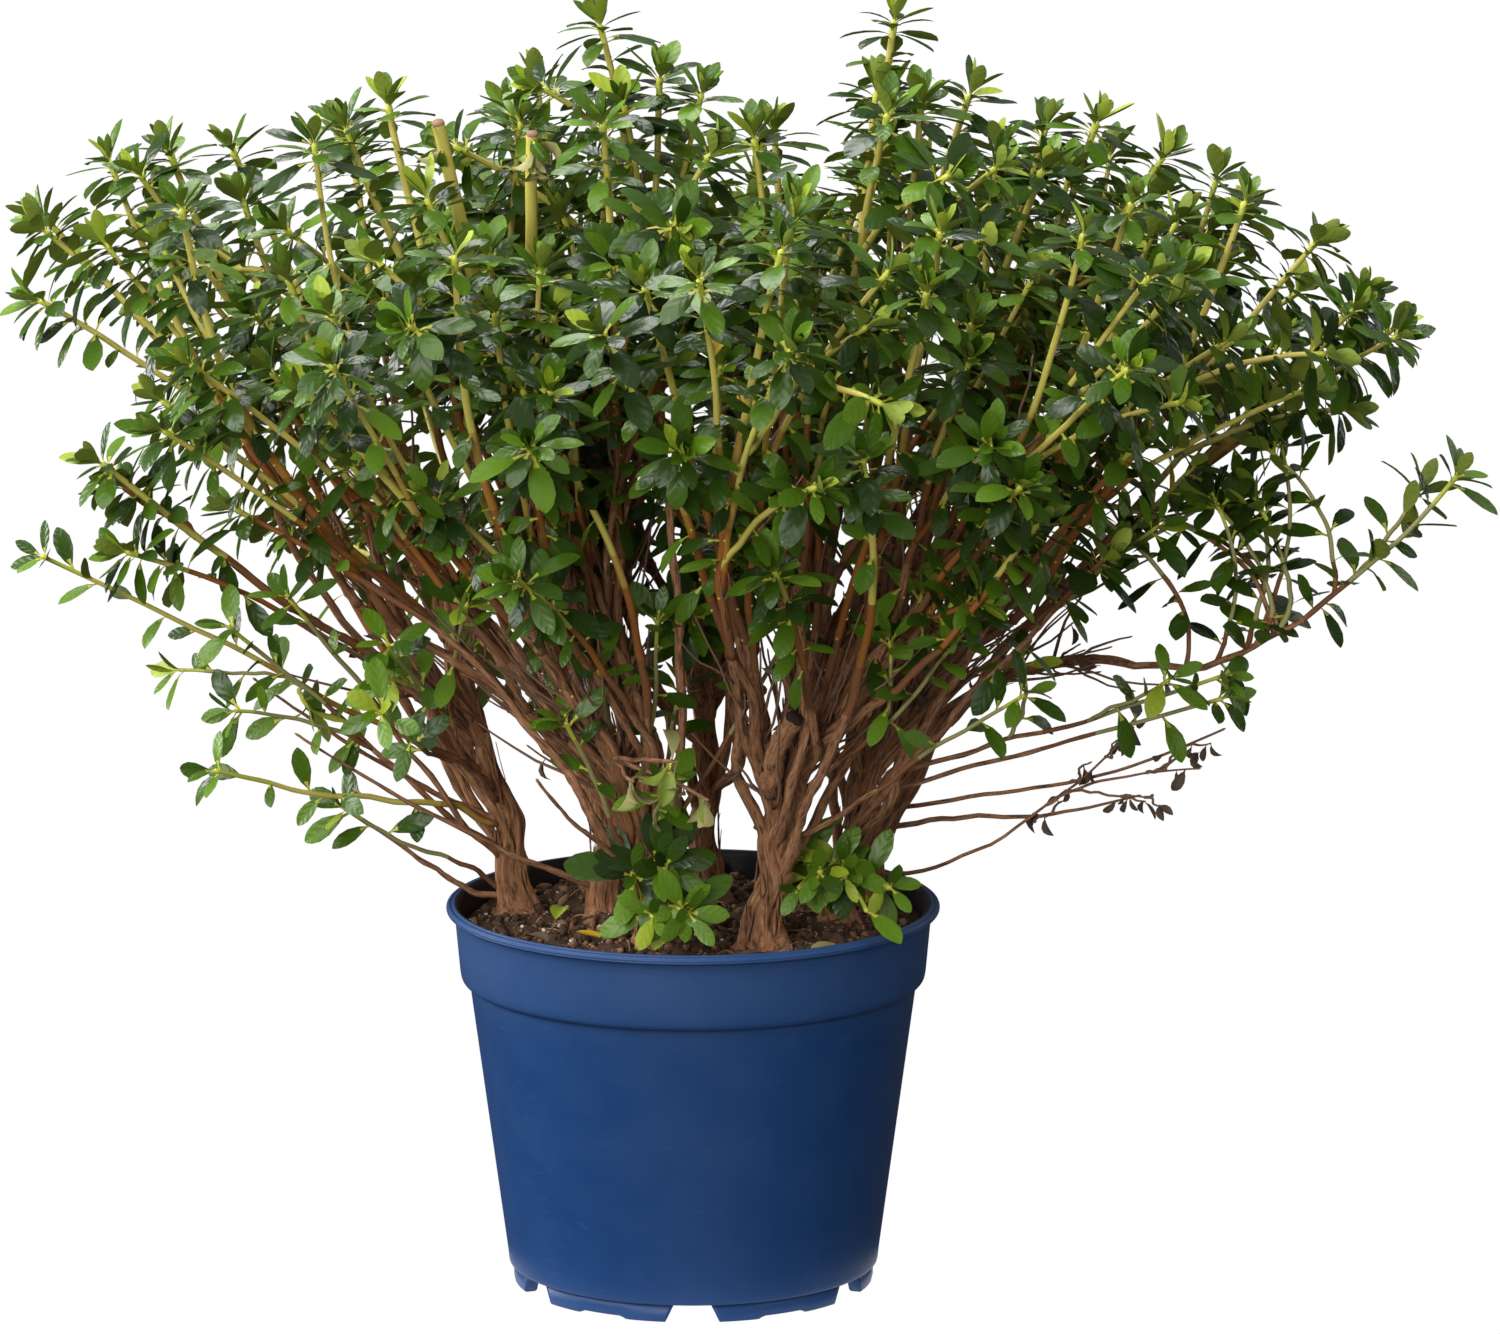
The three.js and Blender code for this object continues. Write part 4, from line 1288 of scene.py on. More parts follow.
@dataclass
class Skeleton:
    """The stems and boughs, by the solids' rule: each mass hangs on the stem that is nearest its way."""

    fan: CrownFan
    masses: list[Mass]
    bough_root: float = 4.9
    bough_tip: float = 2.3
    fork_spacing: float = 0.13
    stems: dict[str, Limb] = field(default_factory=dict)
    boughs: dict[str, Limb] = field(default_factory=dict)
    carrier: dict[str, str] = field(default_factory=dict)

    def __post_init__(self) -> None:
        """Works out every limb."""
        self.stems = {stem.name: stem.limb() for stem in STEMS}
        self.carrier = {mass.name: mass.stem or self.nearest_stem(mass) for mass in self.masses}
        for name, stem in self.stems.items():
            carried = [mass for mass in self.masses if mass.bough and self.carrier[mass.name] == name]
            carried.sort(key=lambda mass: -self.straightness(mass, stem))
            for rank, mass in enumerate(carried):
                self.boughs[mass.name] = self.bough(mass, stem, rank)

    def nearest_stem(self, mass: Mass) -> str:
        """Finds the stem whose fork lies nearest to the line from the focus to a mass.

        Args:
            mass: the mass.

        Returns:
            The stem's name.
        """
        way = self.fan.heading(mass.polar, mass.azimuth)
        focus = np.array(self.fan.focus)
        forks = np.array([stem.end for stem in self.stems.values()])
        line = focus + way * ((forks[:, 2:] - focus[2]) / way[2])
        return list(self.stems)[int(np.argmin(norm(line - forks, axis=1)))]

    def straightness(self, mass: Mass, stem: Limb) -> float:
        """Returns how nearly a mass lies in line with its stem."""
        return float(unit(self.fan.heading(mass.polar, mass.azimuth)) @ stem.way(1.0))

    def bough(self, mass: Mass, stem: Limb, rank: int) -> Limb:
        """Makes a bough that leaves its stem below the fork, swings outwards and turns up into its mass.

        Args:
            mass: the mass that it carries.
            stem: the stem that it leaves.
            rank: how many boughs leave the stem above it.

        Returns:
            The bough.
        """
        share = 1 - self.fork_spacing * rank
        start = stem.point(share)
        gone, polar = mass.bough
        end = np.array(self.fan.focus) + self.fan.heading(polar, mass.azimuth) * mass.reach * gone
        length = norm(end - start)
        leaving = unit(stem.way(share) + unit(end - start))
        root = min(self.bough_root, float(stem.radius(share)) - 0.4)
        return Limb(start, start + leaving * length * 0.5, end, root, self.bough_tip)


@dataclass
class Woodwork:
    """The stems and boughs with the bark's relief: long torn ridges, creases, knots and lifting strips.

    ridge, swell, knot and lobe are shares of the radius that the relief stands out by, and slimness is the
    share of it that is left for the limb under its relief.
    """

    skeleton: Skeleton
    stem_sides: int = 56
    bough_sides: int = 24
    ridge: float = 0.14
    swell: float = 0.075
    knot: float = 0.26
    lobe: float = 0.45
    gnarl_mm: float = 3.2
    slimness: float = 0.78
    rng: Generator = field(default_factory=lambda: default_rng(21))

    def relief(self, along: Array, turn: Array) -> Array:
        """Works out the bark's relief on a limb.

        It is a sum of ridges 1 - |sin(n · turn / 2 + twist · along + phase)| and of low waves
        sin(n · turn + m · along + phase), each weaker as n grows.

        Args:
            along: millimetres along the limb, as a column.
            turn: the angle round it, as a row.

        Returns:
            The share of the radius that each point stands out by.
        """
        height = np.zeros(np.broadcast_shapes(along.shape, turn.shape))
        warp = 0.5 * np.sin(turn + self.rng.uniform(0, ANY_PHASE) + along * 0.03)
        warp = warp + 0.35 * np.sin(2 * turn + self.rng.uniform(0, ANY_PHASE) - along * 0.05)
        for n, share in ((4, 1.0), (10, 0.7), (14, 0.5), (22, 0.34)):
            phase = n / 2 * turn + self.rng.uniform(-0.03, 0.03) * along + self.rng.uniform(0, ANY_PHASE)
            height += share * self.ridge * (0.55 - np.abs(np.sin(phase + warp * n / 5)))
        for n in range(1, 8):
            swing = self.rng.uniform(-0.14, 0.14) * along + self.rng.uniform(0, ANY_PHASE)
            height += self.swell / n**0.8 * np.sin(n * turn + swing)
        return height

    def barked(self, limb: Limb, sides: int, step: float, foot: bool) -> Surface:
        """Makes one limb's bark, as a ring of the relief carried along the limb.

        A knot stands out by exp(-(along / 5 mm)² - (turn / 0.5)²) round its place, and a foot's three lobes
        fade as exp(-along / 8 mm).

        Args:
            limb: the limb.
            sides: the points in a ring.
            step: millimetres between rings.
            foot: whether it stands on the soil, with a lobed flare.

        Returns:
            The limb's surface.
        """
        length = float(norm(limb.end - limb.start)) * 1.03
        share = np.linspace(0, 1, max(8, int(length / step)))
        along = (share * length)[:, None]
        turn = (WHOLE_TURN * np.arange(sides) / sides)[None]
        fade = np.minimum(1.0, (1 - share)[:, None] * 6 + 0.35)
        out = 1 + self.relief(along, turn) * fade
        if foot:
            lobes = 0.5 + 0.5 * np.sin(3 * turn + self.rng.uniform(0, ANY_PHASE))
            out = out * (1 + self.lobe * np.exp(-along / 8) * lobes)
        for _ in range(4 if foot else 2):
            at = self.rng.uniform(0.15, 0.9) * length
            round_at = self.rng.uniform(0, WHOLE_TURN)
            away = np.angle(np.exp(1j * (turn - round_at)))
            out = out + self.knot * np.exp(-(((along - at) / 5) ** 2) - (away / 0.5) ** 2)
        sway = np.sin(math.pi * share)[:, None] * self.gnarl_mm
        sideways = np.sin(share * 9 + self.rng.uniform(0, ANY_PHASE))
        to_and_fro = np.sin(share * 7 + self.rng.uniform(0, ANY_PHASE))
        centres = limb.point(share) + sway * np.stack([sideways, to_and_fro, 0 * share], axis=-1)
        if foot:
            centres[0] -= UP * 3
        radii = limb.radius(share)[:, None] * self.slimness * out
        return tubes(centres[None], radii[None], sides)

    def strips(self, limbs: list[Limb], count: int) -> Surface:
        """Makes strips of bark that lift off the limbs.

        A strip is a flat tube that starts on the bark and leaves it by lift · (share gone)².

        Args:
            limbs: the limbs that carry them.
            count: how many there are on each limb.

        Returns:
            The strips' surface.
        """
        paths, normals = [], []
        for limb in limbs:
            share = self.rng.uniform(0.04, 0.8, count)
            length = norm(limb.end - limb.start)
            way = limb.way(share)
            out = beside(way, self.rng.uniform(0, WHOLE_TURN, count))
            gone = np.linspace(0, 1, 6)[None]
            run = self.rng.uniform(8, 22, count)[:, None] * gone
            at = np.clip(share[:, None] + run / length, 0, 1)
            lift = limb.radius(at) * self.slimness * 1.04
            lift = lift + self.rng.uniform(0.1, 1.9, count)[:, None] * gone**2
            lean = self.rng.normal(0, 1.2, (count, 1, 1)) * gone[..., None] ** 2 * np.cross(way, out)[:, None]
            paths.append(limb.point(at) + out[:, None] * lift[..., None] + lean)
            normals.append(np.cross(way, out))
        centres = np.concatenate(paths)
        wide = self.rng.uniform(0.6, 1.5, (len(centres), 1)) * np.array([0.5, 1.0, 1.0, 0.8, 0.5, 0.15])
        thin = 0 * wide + 0.2
        return tubes(centres, np.stack([wide, thin, wide, thin], axis=-1), 4, 0, np.concatenate(normals))

    def build(self, bark: Material) -> list[Object]:
        """Makes the stems and the boughs.

        Args:
            bark: their material.

        Returns:
            The two pieces.
        """
        stems = self.skeleton.stems
        boughs = {f"bough_{name}": bough for name, bough in self.skeleton.boughs.items()}
        kinds = (
            ("barked_stems", stems, self.stem_sides, 1.3, 40),
            ("barked_boughs", boughs, self.bough_sides, 2.4, 10),
        )
        pieces = []
        for name, limbs, sides, step, strips in kinds:
            parts = [self.barked(limb, sides, step, limbs is stems) for limb in limbs.values()]
            parts.append(self.strips(list(limbs.values()), strips))
            pieces.append(fitted(Surface.joined(parts).piece(name, [bark]), list(limbs)))
        return pieces


@dataclass(frozen=True)
class GrownMass:
    """A mass with its main, side and inner shoots and its leaves."""

    mass: Mass
    mains: Twigs
    sides: Twigs
    inner: Twigs
    leaves: LeafSet


@dataclass
class Crown:
    """The foliage: masses of forking shoots, each with a pale bud, whorls of leaves and a bare brown foot.

    leafy_shares are the shares of a mass's leafy length that its main, side and inner shoots keep, and mains
    are the stout main shoots, once they are grown.
    """

    fan: CrownFan
    skeleton: Skeleton
    bud_drop: float = 6.0
    overhang: float = 8.0
    bud: float = 1.1
    scars_on_main: int = 13
    leafy_shares: tuple = (1.3, 0.95, 0.6)
    leaves_in_piece: int = 2200
    seed: int = 40
    mains: Twigs | None = None

    def shoots(self, mass: Mass, rng: Generator) -> tuple[Twigs, Twigs, Twigs]:
        """Grows a mass's shoots by the solids' rule, carried to finer ones.

        Some rosettes stand on main shoots from the bough. The others leave the nearest main shoot some way
        below its bud, and inner ones stop deeper in the crown.

        Args:
            mass: the mass.
            rng: the seeded numbers.

        Returns:
            The main shoots, the side shoots and the inner shoots.
        """
        way = self.fan.heading(mass.polar, mass.azimuth)
        rank = np.arange(mass.rosettes)
        share = np.sqrt((rank + 0.4) / mass.rosettes)
        if mass.habit is not STOUT:
            share[0] = 0.0
        turn = rank * GOLDEN_TURN + rng.uniform(0, 1, mass.rosettes)
        main = rank % mass.every == 0
        drop = self.bud_drop + mass.deep * rng.uniform(0.12, 1, mass.rosettes) ** (1.0 if mass.lift else 1.7)
        drop = drop + mass.sag + mass.gap
        drop[0] = self.bud_drop + mass.sag
        ends = self.fan.targets(way, mass.reach, mass.spread, share, turn, drop)
        raised = self.fan.targets(
            self.fan.heading(mass.polar - mass.lift, mass.azimuth), mass.reach, mass.spread, share, turn, drop
        )
        ends = mixed(ends, raised, (drop / (mass.deep + self.bud_drop))[:, None])
        main_ends = ends[main]
        starts, along = self.starts(mass, main_ends)
        habit = mass.habit
        arch = habit.outward * (unit(way * [1, 1, 0]) - 0.6 * UP)
        leaving = unit(1.2 * unit(main_ends - starts) + along + arch)
        mains = Twigs.grown(starts, leaving, main_ends, habit.main, habit.sway, rng)

        others = ends[~main]
        nearest = np.argmin(norm(others[:, None] - main_ends[None], axis=-1), axis=1)
        if mass.lift:
            back = drop[~main] + rng.uniform(40, 80, len(others))
        else:
            back = rng.uniform(95, 200, len(others))
        sides = self.branch(mains, nearest, others, back, habit.side, rng)
        inner_ends = self.fan.targets(
            way, mass.reach, 1.1 * mass.spread, np.sqrt(rng.uniform(0.1, 1, mass.inner)),
            rng.uniform(0, WHOLE_TURN, mass.inner), rng.uniform(75, 185, mass.inner),
        )
        return mains, sides, self.limbs(mass, inner_ends, rng)

    def limbs(self, mass: Mass, ends: Array, rng: Generator) -> Twigs:
        """Grows the inner shoots, as thin limbs that start low on the mass's stem and cross its boughs.

        Args:
            mass: the mass.
            ends: where they end.
            rng: the seeded numbers.

        Returns:
            The inner shoots.
        """
        stem = self.skeleton.stems[self.skeleton.carrier[mass.name]]
        share = rng.uniform(0.15, 1.0, len(ends))
        start = stem.point(share)
        wander = unit(rng.normal(0, 1, start.shape) * [1, 1, 0.3])
        leaving = unit(unit(ends - start) + 0.5 * stem.way(share) + 0.55 * wander)
        return Twigs.grown(start, leaving, ends, (2.6, 1.3), 10.0, rng)

    def starts(self, mass: Mass, ends: Array) -> tuple[Array, Array]:
        """Returns where a mass's main shoots start on its bough or stem, and the way they leave.

        Args:
            mass: the mass.
            ends: where they end.

        Returns:
            The points and the ways.
        """
        count = len(ends)
        if mass.bough:
            bough = self.skeleton.boughs[mass.name]
            share = np.concatenate([[1.0], np.linspace(0.55, 0.04, count - 1)])
            return bough.point(share), bough.way(share)
        stem = self.skeleton.stems[self.skeleton.carrier[mass.name]]
        share = mass.at - 0.12 * np.arange(count) / count
        starts = stem.point(share)
        out = unit((ends - starts) * [1, 1, 0])
        return starts + out * stem.radius(share)[:, None] * 0.6, unit(ends - starts)

    def branch(
        self, parents: Twigs, which: Array, ends: Array, back: Array, radii: tuple, rng: Generator
    ) -> Twigs:
        """Grows side shoots from their parents.

        Args:
            parents: the shoots that carry them.
            which: the parent of each.
            ends: where each ends.
            back: how far below the parent's bud each leaves it.
            radii: the radius at the root and under the bud.
            rng: the seeded numbers.

        Returns:
            The side shoots.
        """
        chosen = parents.picked(which)
        back = np.minimum(back, rng.uniform(0.25, 0.95, len(back)) * chosen.lengths())
        share = np.clip(1 - back / chosen.lengths(), 0.05, 0.85)[:, None]
        start = chosen.points(share)[:, 0]
        along = chosen.ways(share)[:, 0]
        return Twigs.grown(start, unit(unit(ends - start) + 0.8 * along), ends, radii, 2.4, rng)

    def scars(self, twigs: Twigs, count: int, rng: Generator) -> Surface:
        """Makes the pale scars of fallen leaves: flat lumps at the golden angle down the twigs' russet part.

        Args:
            twigs: the twigs.
            count: how many there are on each.
            rng: the seeded numbers.

        Returns:
            The scars' surface, without those that would be on a twig's foot.
        """
        order = np.arange(count)
        below = rng.uniform(112, 130, (len(twigs), 1)) + 7.5 * order + rng.normal(0, 2, (len(twigs), count))
        share = 1 - below / twigs.lengths()[:, None]
        out = beside(twigs.ways(share), GOLDEN_TURN * order + rng.uniform(0, ANY_PHASE, (len(twigs), 1)))
        radius = mixed(twigs.root_radius[:, None], twigs.tip_radius[:, None], share)[..., None]
        place = (twigs.points(share) + out * radius)[share > 0.15]
        steps = np.array([-0.5, 0.25, 0.5])[None, :, None]
        centres = place[:, None] + out[share > 0.15][:, None] * steps
        return tubes(centres, np.tile([0.75, 0.7, 0.4], (len(centres), 1)), 5, TwigSlot.STRAW)

    def leaves(self, twigs: Twigs, mass: Mass, share: float, rng: Generator) -> LeafSet:
        """Grows every flush on some shoots.

        Args:
            twigs: the shoots.
            mass: the mass that they belong to.
            share: the share of the mass's leafy length that they keep.
            rng: the seeded numbers.

        Returns:
            The leaves.
        """
        leafy = mass.leafy * share
        *upper, lower = mass.habit.flushes
        flushes = [*upper, replace(lower, count=max(2, round(leafy / mass.habit.spacing)))]
        return LeafSet.joined([leaves_of(twigs, flush, leafy, rng) for flush in flushes])

    def in_reach(self, leaves: LeafSet, mass: Mass) -> LeafSet:
        """Drops the leaves that would leave the mass's reach or touch the pot.

        Args:
            leaves: the leaves.
            mass: the mass.

        Returns:
            The leaves that stay.
        """
        tips = leaves.tips()
        limit = mass.reach + self.overhang - min(0.0, mass.sag)
        return leaves.picked((self.fan.reached(tips) < limit) & clear_of_pot(tips, 4, outside=135))

    def grow(self, mass: Mass, index: int) -> GrownMass:
        """Grows a mass.

        Args:
            mass: the mass.
            index: its place in the list of masses, which seeds its random numbers.

        Returns:
            The mass with its shoots and leaves.
        """
        rng = default_rng(self.seed + index)
        shoots = self.shoots(mass, rng)
        sets = [self.leaves(twigs, mass, share, rng) for twigs, share in zip(shoots, self.leafy_shares)]
        return GrownMass(mass, *shoots, self.in_reach(LeafSet.joined(sets), mass))

    def wood(self, grown: list[GrownMass]) -> Surface:
        """Makes the skins of the main and side shoots, and the scars on the stout main ones.

        Args:
            grown: the grown masses.

        Returns:
            Their surface.
        """
        sides = Twigs.joined([one.sides for one in grown if one.mass.habit is STOUT])
        parts = [
            self.mains.surface(56, 8, SHOOT_SKINS, self.bud, self.fan, 0.13),
            sides.surface(18, 6, SHOOT_SKINS, self.bud, self.fan, 0.05),
        ]
        for habit in (ARCHED, SLENDER, PALE):
            thin = [one for one in grown if one.mass.habit is habit]
            twigs = Twigs.joined([part for one in thin for part in (one.mains, one.sides)])
            parts.append(twigs.surface(26, 6, habit.skins, self.bud, None, 0.08))
        parts.append(self.scars(self.mains, self.scars_on_main, default_rng(self.seed)))
        return Surface.joined(parts)

    def grouped(self, grown: list[GrownMass]) -> list[list[GrownMass]]:
        """Deals the masses out in order, so that the leaves of each group fit into one piece.

        Args:
            grown: the grown masses.

        Returns:
            The groups.
        """
        groups = [[]]
        for one in grown:
            if sum(len(other.leaves) for other in groups[-1]) + len(one.leaves) > self.leaves_in_piece:
                groups.append([])
            groups[-1].append(one)
        return groups

    def build(self, leaf_skins: list, twig_skins: list) -> list[Object]:
        """Makes the shoots, and the leaves in pieces that take the place of their masses.

        Args:
            leaf_skins: the leaves' materials.
            twig_skins: the twigs' materials.

        Returns:
            The pieces.
        """
        grown = [self.grow(mass, i) for i, mass in enumerate(self.skeleton.masses)]
        self.mains = Twigs.joined([one.mains for one in grown if one.mass.habit is STOUT])
        inner = Twigs.joined([one.inner for one in grown])
        limbs = inner.surface(48, 7, SHOOT_SKINS, self.bud, self.fan, 0.16)
        pieces = [
            fitted(limbs.piece("inner_limbs", twig_skins)),
            fitted(self.wood(grown).piece("leafy_shoots", twig_skins)),
        ]
        for number, group in enumerate(self.grouped(grown), 1):
            leaves = LeafSet.joined([one.leaves for one in group]).surface()
            solids = [f"foliage_{one.mass.name}" for one in group if one.mass.solid]
            pieces.append(fitted(leaves.piece(f"leaves_{number}", leaf_skins), solids))
        return pieces


@dataclass(frozen=True)
class Tuft:
    """A tuft of shoots that a stem sends up beside its foot, round a middle at a height over the soil.

    size is how far its shoots end from the middle: across, in depth and upwards.
    """

    flush: Flush
    stem: str
    at: float
    middle: tuple
    shoots: int
    seed: int
    size: tuple

    def grow(self, skeleton: Skeleton) -> tuple[Twigs, LeafSet]:
        """Grows the tuft.

        Args:
            skeleton: the stems.

        Returns:
            Its shoots and its leaves.
        """
        rng = default_rng(self.seed)
        rank = np.arange(self.shoots)
        share = np.sqrt((rank + 0.4) / self.shoots)
        turn = rank * GOLDEN_TURN + rng.uniform(0, 1, self.shoots)
        high = rng.uniform(-1, 1, self.shoots)
        spread = np.stack([np.cos(turn), np.sin(turn), high], -1) * np.array(self.size)
        ends = np.array(self.middle) + share[:, None] * spread
        stem = skeleton.stems[self.stem]
        starts = stem.point(self.at * rng.uniform(0.4, 1.0, self.shoots))
        twigs = Twigs.grown(starts, unit(unit(ends - starts) + 0.5 * UP), ends, (1.5, 1.1), 2.0, rng)
        leaves = leaves_of(twigs, self.flush, 0, rng)
        return twigs, leaves.picked(clear_of_pot(leaves.tips(), 3))


TUFTS = (
    Tuft(GLOSSY_TUFT, "stem_front", 0.4, (-20, -70, 214), 3, 3, (12, 8, 10)),
    Tuft(BRIGHT_TUFT, "stem_front", 0.2, (-8, -82, 195), 3, 5, (14, 8, 6)),
    Tuft(LEAFY_TUFT, "stem_right", 0.25, (62, -46, 211), 8, 8, (36, 14, 28)),
)

# Where the dry twigs at the right end, and the two side twigs of the lowest one.
DRY_ENDS = np.array([[205.0, 8, 261], [209, 20, 226], [247, 0, 262]])
DRY_SIDE_ENDS = np.array([[214.0, -2, 229], [236, 4, 242]])
# Where the wilted spray's twigs end, the pruned shoots, the pruned stub and the twig with the draped leaf.
WILTED_ENDS = np.array([[-26.0, -118, 262], [-6, -122, 272], [8, -112, 252]])
CUT_ENDS = np.array([[-113.0, -92, 558], [-71, -85, 552]])
STUB_END = np.array([[47.0, -100, 288]])
DRAPED_END = np.array([[80.0, -71, 191]])
# The long bare twigs at the left: their stems, how high on them they start, and where they end.
LONG_STEMS = ("stem_left_centre", "stem_left", "stem_left", "stem_front")
LONG_STARTS = (0.12, 0.06, 0.5, 0.5)
LONG_ENDS = np.array([[-183.0, -30, 266], [-167, 10, 226], [-205, 20, 282], [-70, -112, 262]])
# Where the fallen leaves lie, and their skins.
FALLEN_PLACES = np.array([[-56.0, -32], [-60, 20], [84, 22], [20, -86], [-78, -40], [52, -74]])
FALLEN_SKINS = (LeafSlot.GOLD, LeafSlot.YOUNG, LeafSlot.GOLD, LeafSlot.DEAD, LeafSlot.DEAD, LeafSlot.WILTED)
# The share of twigs that keep a leaf, and its skin: on the wilted spray and under the pruned shoots' cuts.
WILTED_LEAVES = ((0.8, LeafSlot.WILTED), (0.6, LeafSlot.UNDER))
HANGING_LEAVES = ((0.8, LeafSlot.WILTED), (0.6, LeafSlot.MID))
# The skins of low twigs, by millimetres below the tip.
DRY_SKINS = ((0, TwigSlot.DRY),)
BARK_SKINS = ((0, TwigSlot.BARK),)
SPRAY_SKINS = ((0, TwigSlot.DRY), (30, TwigSlot.BARK))
# The stub's last millimetre and its flat cut end take the painted shade of a hollow.
STUB_SKINS = ((0, TwigSlot.CUT), (1, TwigSlot.BARK))
CUT_SKINS = ((0, TwigSlot.DRY), (2, TwigSlot.STRAW), *SHOOT_SKINS[2:])
TUFT_SKINS = ((0, TwigSlot.GREEN), (14, TwigSlot.STRAW), (40, TwigSlot.BARK))


@dataclass
class Undergrowth:
    """What grows or dies low down: tufts, dry twigs with curled leaves, a wilted spray and twiglets."""

    fan: CrownFan
    skeleton: Skeleton
    mains: Twigs
    twiglets_on_boughs: int = 14
    twiglets_on_shoots: int = 4
    rng: Generator = field(default_factory=lambda: default_rng(77))

    def dry_spray(self) -> Twigs:
        """Grows the dry twigs at the right: three from the stem, two side twigs on one and finer ones.

        Returns:
            The twigs.
        """
        roots = self.skeleton.stems["stem_far_right"].point(np.array([0.16, 0.42, 0.52])) + [4.0, -2, 0]
        leaving = unit(unit(DRY_ENDS - roots) * [1, 1, 0.4] + [0.3, 0, 0.02])
        long = Twigs.grown(roots, leaving, DRY_ENDS, (1.35, 0.55), 5.0, self.rng)
        parents = long.picked(np.zeros(2, int))
        share = np.array([[0.62], [0.66]])
        starts = parents.points(share)[:, 0]
        leaving = unit(unit(DRY_SIDE_ENDS - starts) + parents.ways(share)[:, 0])
        side = Twigs.grown(starts, leaving, DRY_SIDE_ENDS, (0.9, 0.45), 4.0, self.rng)
        both = Twigs.joined([long, side])
        return Twigs.joined([both, self.twiglets(both, 2, (10, 30), 0.5)])

    def twiglets(self, parents: Twigs, count: int, lengths: tuple, low: float) -> Twigs:
        """Grows dead twiglets on their parents.

        Args:
            parents: the limbs that carry them.
            count: how many there are on each.
            lengths: the shortest and the longest, in millimetres.
            low: the share of the parent above which they grow.

        Returns:
            The twiglets.
        """
        which = np.repeat(np.arange(len(parents)), count)
        chosen = parents.picked(which)
        share = self.rng.uniform(low, min(0.95, low + 0.5), len(which))[:, None]
        start = chosen.points(share)[:, 0]
        along = chosen.ways(share)[:, 0]
        out = squared(self.rng.normal(0, 1, start.shape), along)
        way = unit(along + out * self.rng.uniform(0.35, 1.1, (len(which), 1)) + 0.15 * UP)
        length = mixed(lengths[0], lengths[1], self.rng.uniform(0, 1, (len(which), 1)) ** 1.5)
        return Twigs.grown(start, way, start + unit(way + 0.4 * along) * length, (0.85, 0.4), 3.0, self.rng)

    def limbs(self) -> Twigs:
        """Hands the boughs over as twigs, for the twiglets to grow on.

        Returns:
            Twigs without sway. Their radii aren't used.
        """
        boughs = self.skeleton.boughs.values()
        start = np.stack([bough.start for bough in boughs])
        bend = np.stack([bough.bend for bough in boughs])
        end = np.stack([bough.end for bough in boughs])
        return Twigs(start, bend, end, 0 * start, np.ones(len(start)), np.ones(len(start)))

    def curled(self, twigs: Twigs, chance: float, skin: LeafSlot, lengths: tuple = (12, 22)) -> LeafSet:
        """Hangs dead or wilted leaves near the tips of some twigs: folded, rolled down and pointing down.

        Args:
            twigs: the twigs.
            chance: the share of twigs that keep one.
            skin: the leaves' skin.
            lengths: the shortest and the longest, in millimetres.

        Returns:
            The leaves.
        """
        chosen = twigs.picked(self.rng.uniform(0, 1, len(twigs)) < chance)
        size = len(chosen)
        share = self.rng.uniform(0.7, 1.0, (size, 1))
        forward = unit(self.rng.normal(0, 0.6, (size, 3)) - UP)
        face = squared(self.rng.normal(0, 1, (size, 3)), forward)
        length = self.rng.uniform(*lengths, size)
        return LeafSet(
            chosen.points(share)[:, 0], forward, face, length, length * self.rng.uniform(0.28, 0.42, size),
            self.rng.uniform(0.6, 2.4, size), self.rng.uniform(0.7, 1.6, size), np.full(size, int(skin)),
        )

    def wilted(self) -> tuple[Twigs, LeafSet]:
        """Grows the wilted spray in front of the stems: pale leaves that hang from a few short twigs.

        Returns:
            Its twigs and its leaves.
        """
        start = self.skeleton.boughs["outer_8"].point(np.array([0.2, 0.25, 0.3]))
        twigs = Twigs.grown(start, unit(WILTED_ENDS - start), WILTED_ENDS, (1.3, 0.8), 3.0, self.rng)
        many = twigs.picked(np.repeat(np.arange(3), 5))
        return twigs, LeafSet.joined([self.curled(many, *leaves) for leaves in WILTED_LEAVES])

    def cut_shoots(self) -> tuple[Surface, LeafSet]:
        """Grows the pruned wood: two thick straw shoots near the top left, and a stub of old wood in front.

        Returns:
            The wood, and the leaves that hang wilted under the two cuts.
        """
        start = self.skeleton.boughs["upper_4"].point(np.array([0.6, 0.9]))
        shoots = Twigs.grown(start, unit(CUT_ENDS - start), CUT_ENDS, (3.0, 2.7), 4.0, self.rng)
        bough = self.skeleton.boughs["outer_9"]
        leaving = unit(bough.way(np.array([0.2])) + [0, -0.5, 0])
        stub = Twigs.grown(bough.point(np.array([0.25])), leaving, STUB_END, (4.4, 3.9), 2.0, self.rng)
        cut = shoots.surface(40, 8, CUT_SKINS, 0, self.fan)
        wood = Surface.joined([cut, stub.surface(14, 12, STUB_SKINS, 0, None, 0.1)])
        many = shoots.picked(np.repeat([0, 1], 6))
        many.start = mixed(many.start, many.end, 0.85)
        many.bend = mixed(many.start, many.end, 0.5)
        return wood, LeafSet.joined([self.curled(many, *leaves) for leaves in HANGING_LEAVES])

    def fallen(self) -> LeafSet:
        """Lays a few fallen leaves on the peat, in gold, lime and umber.

        Returns:
            The leaves, which lie round the pot's axis and turn a little inwards.
        """
        root = np.column_stack([FALLEN_PLACES, np.full(len(FALLEN_PLACES), SOIL_LEVEL + 4.0)])
        outwards = unit(root * [1, 1, 0])
        wander = self.rng.normal(0, 0.2, root.shape) * [1, 1, 0]
        forward = unit(np.cross(UP, outwards) - 0.3 * outwards + wander + 0.12 * UP)
        length = self.rng.uniform(17, 23, len(root))
        bent = self.rng.uniform(0.3, 0.8, len(root))
        skins = np.array(FALLEN_SKINS, int)
        return LeafSet(root, forward, squared(UP, forward), length, 0.45 * length, bent, bent, skins)

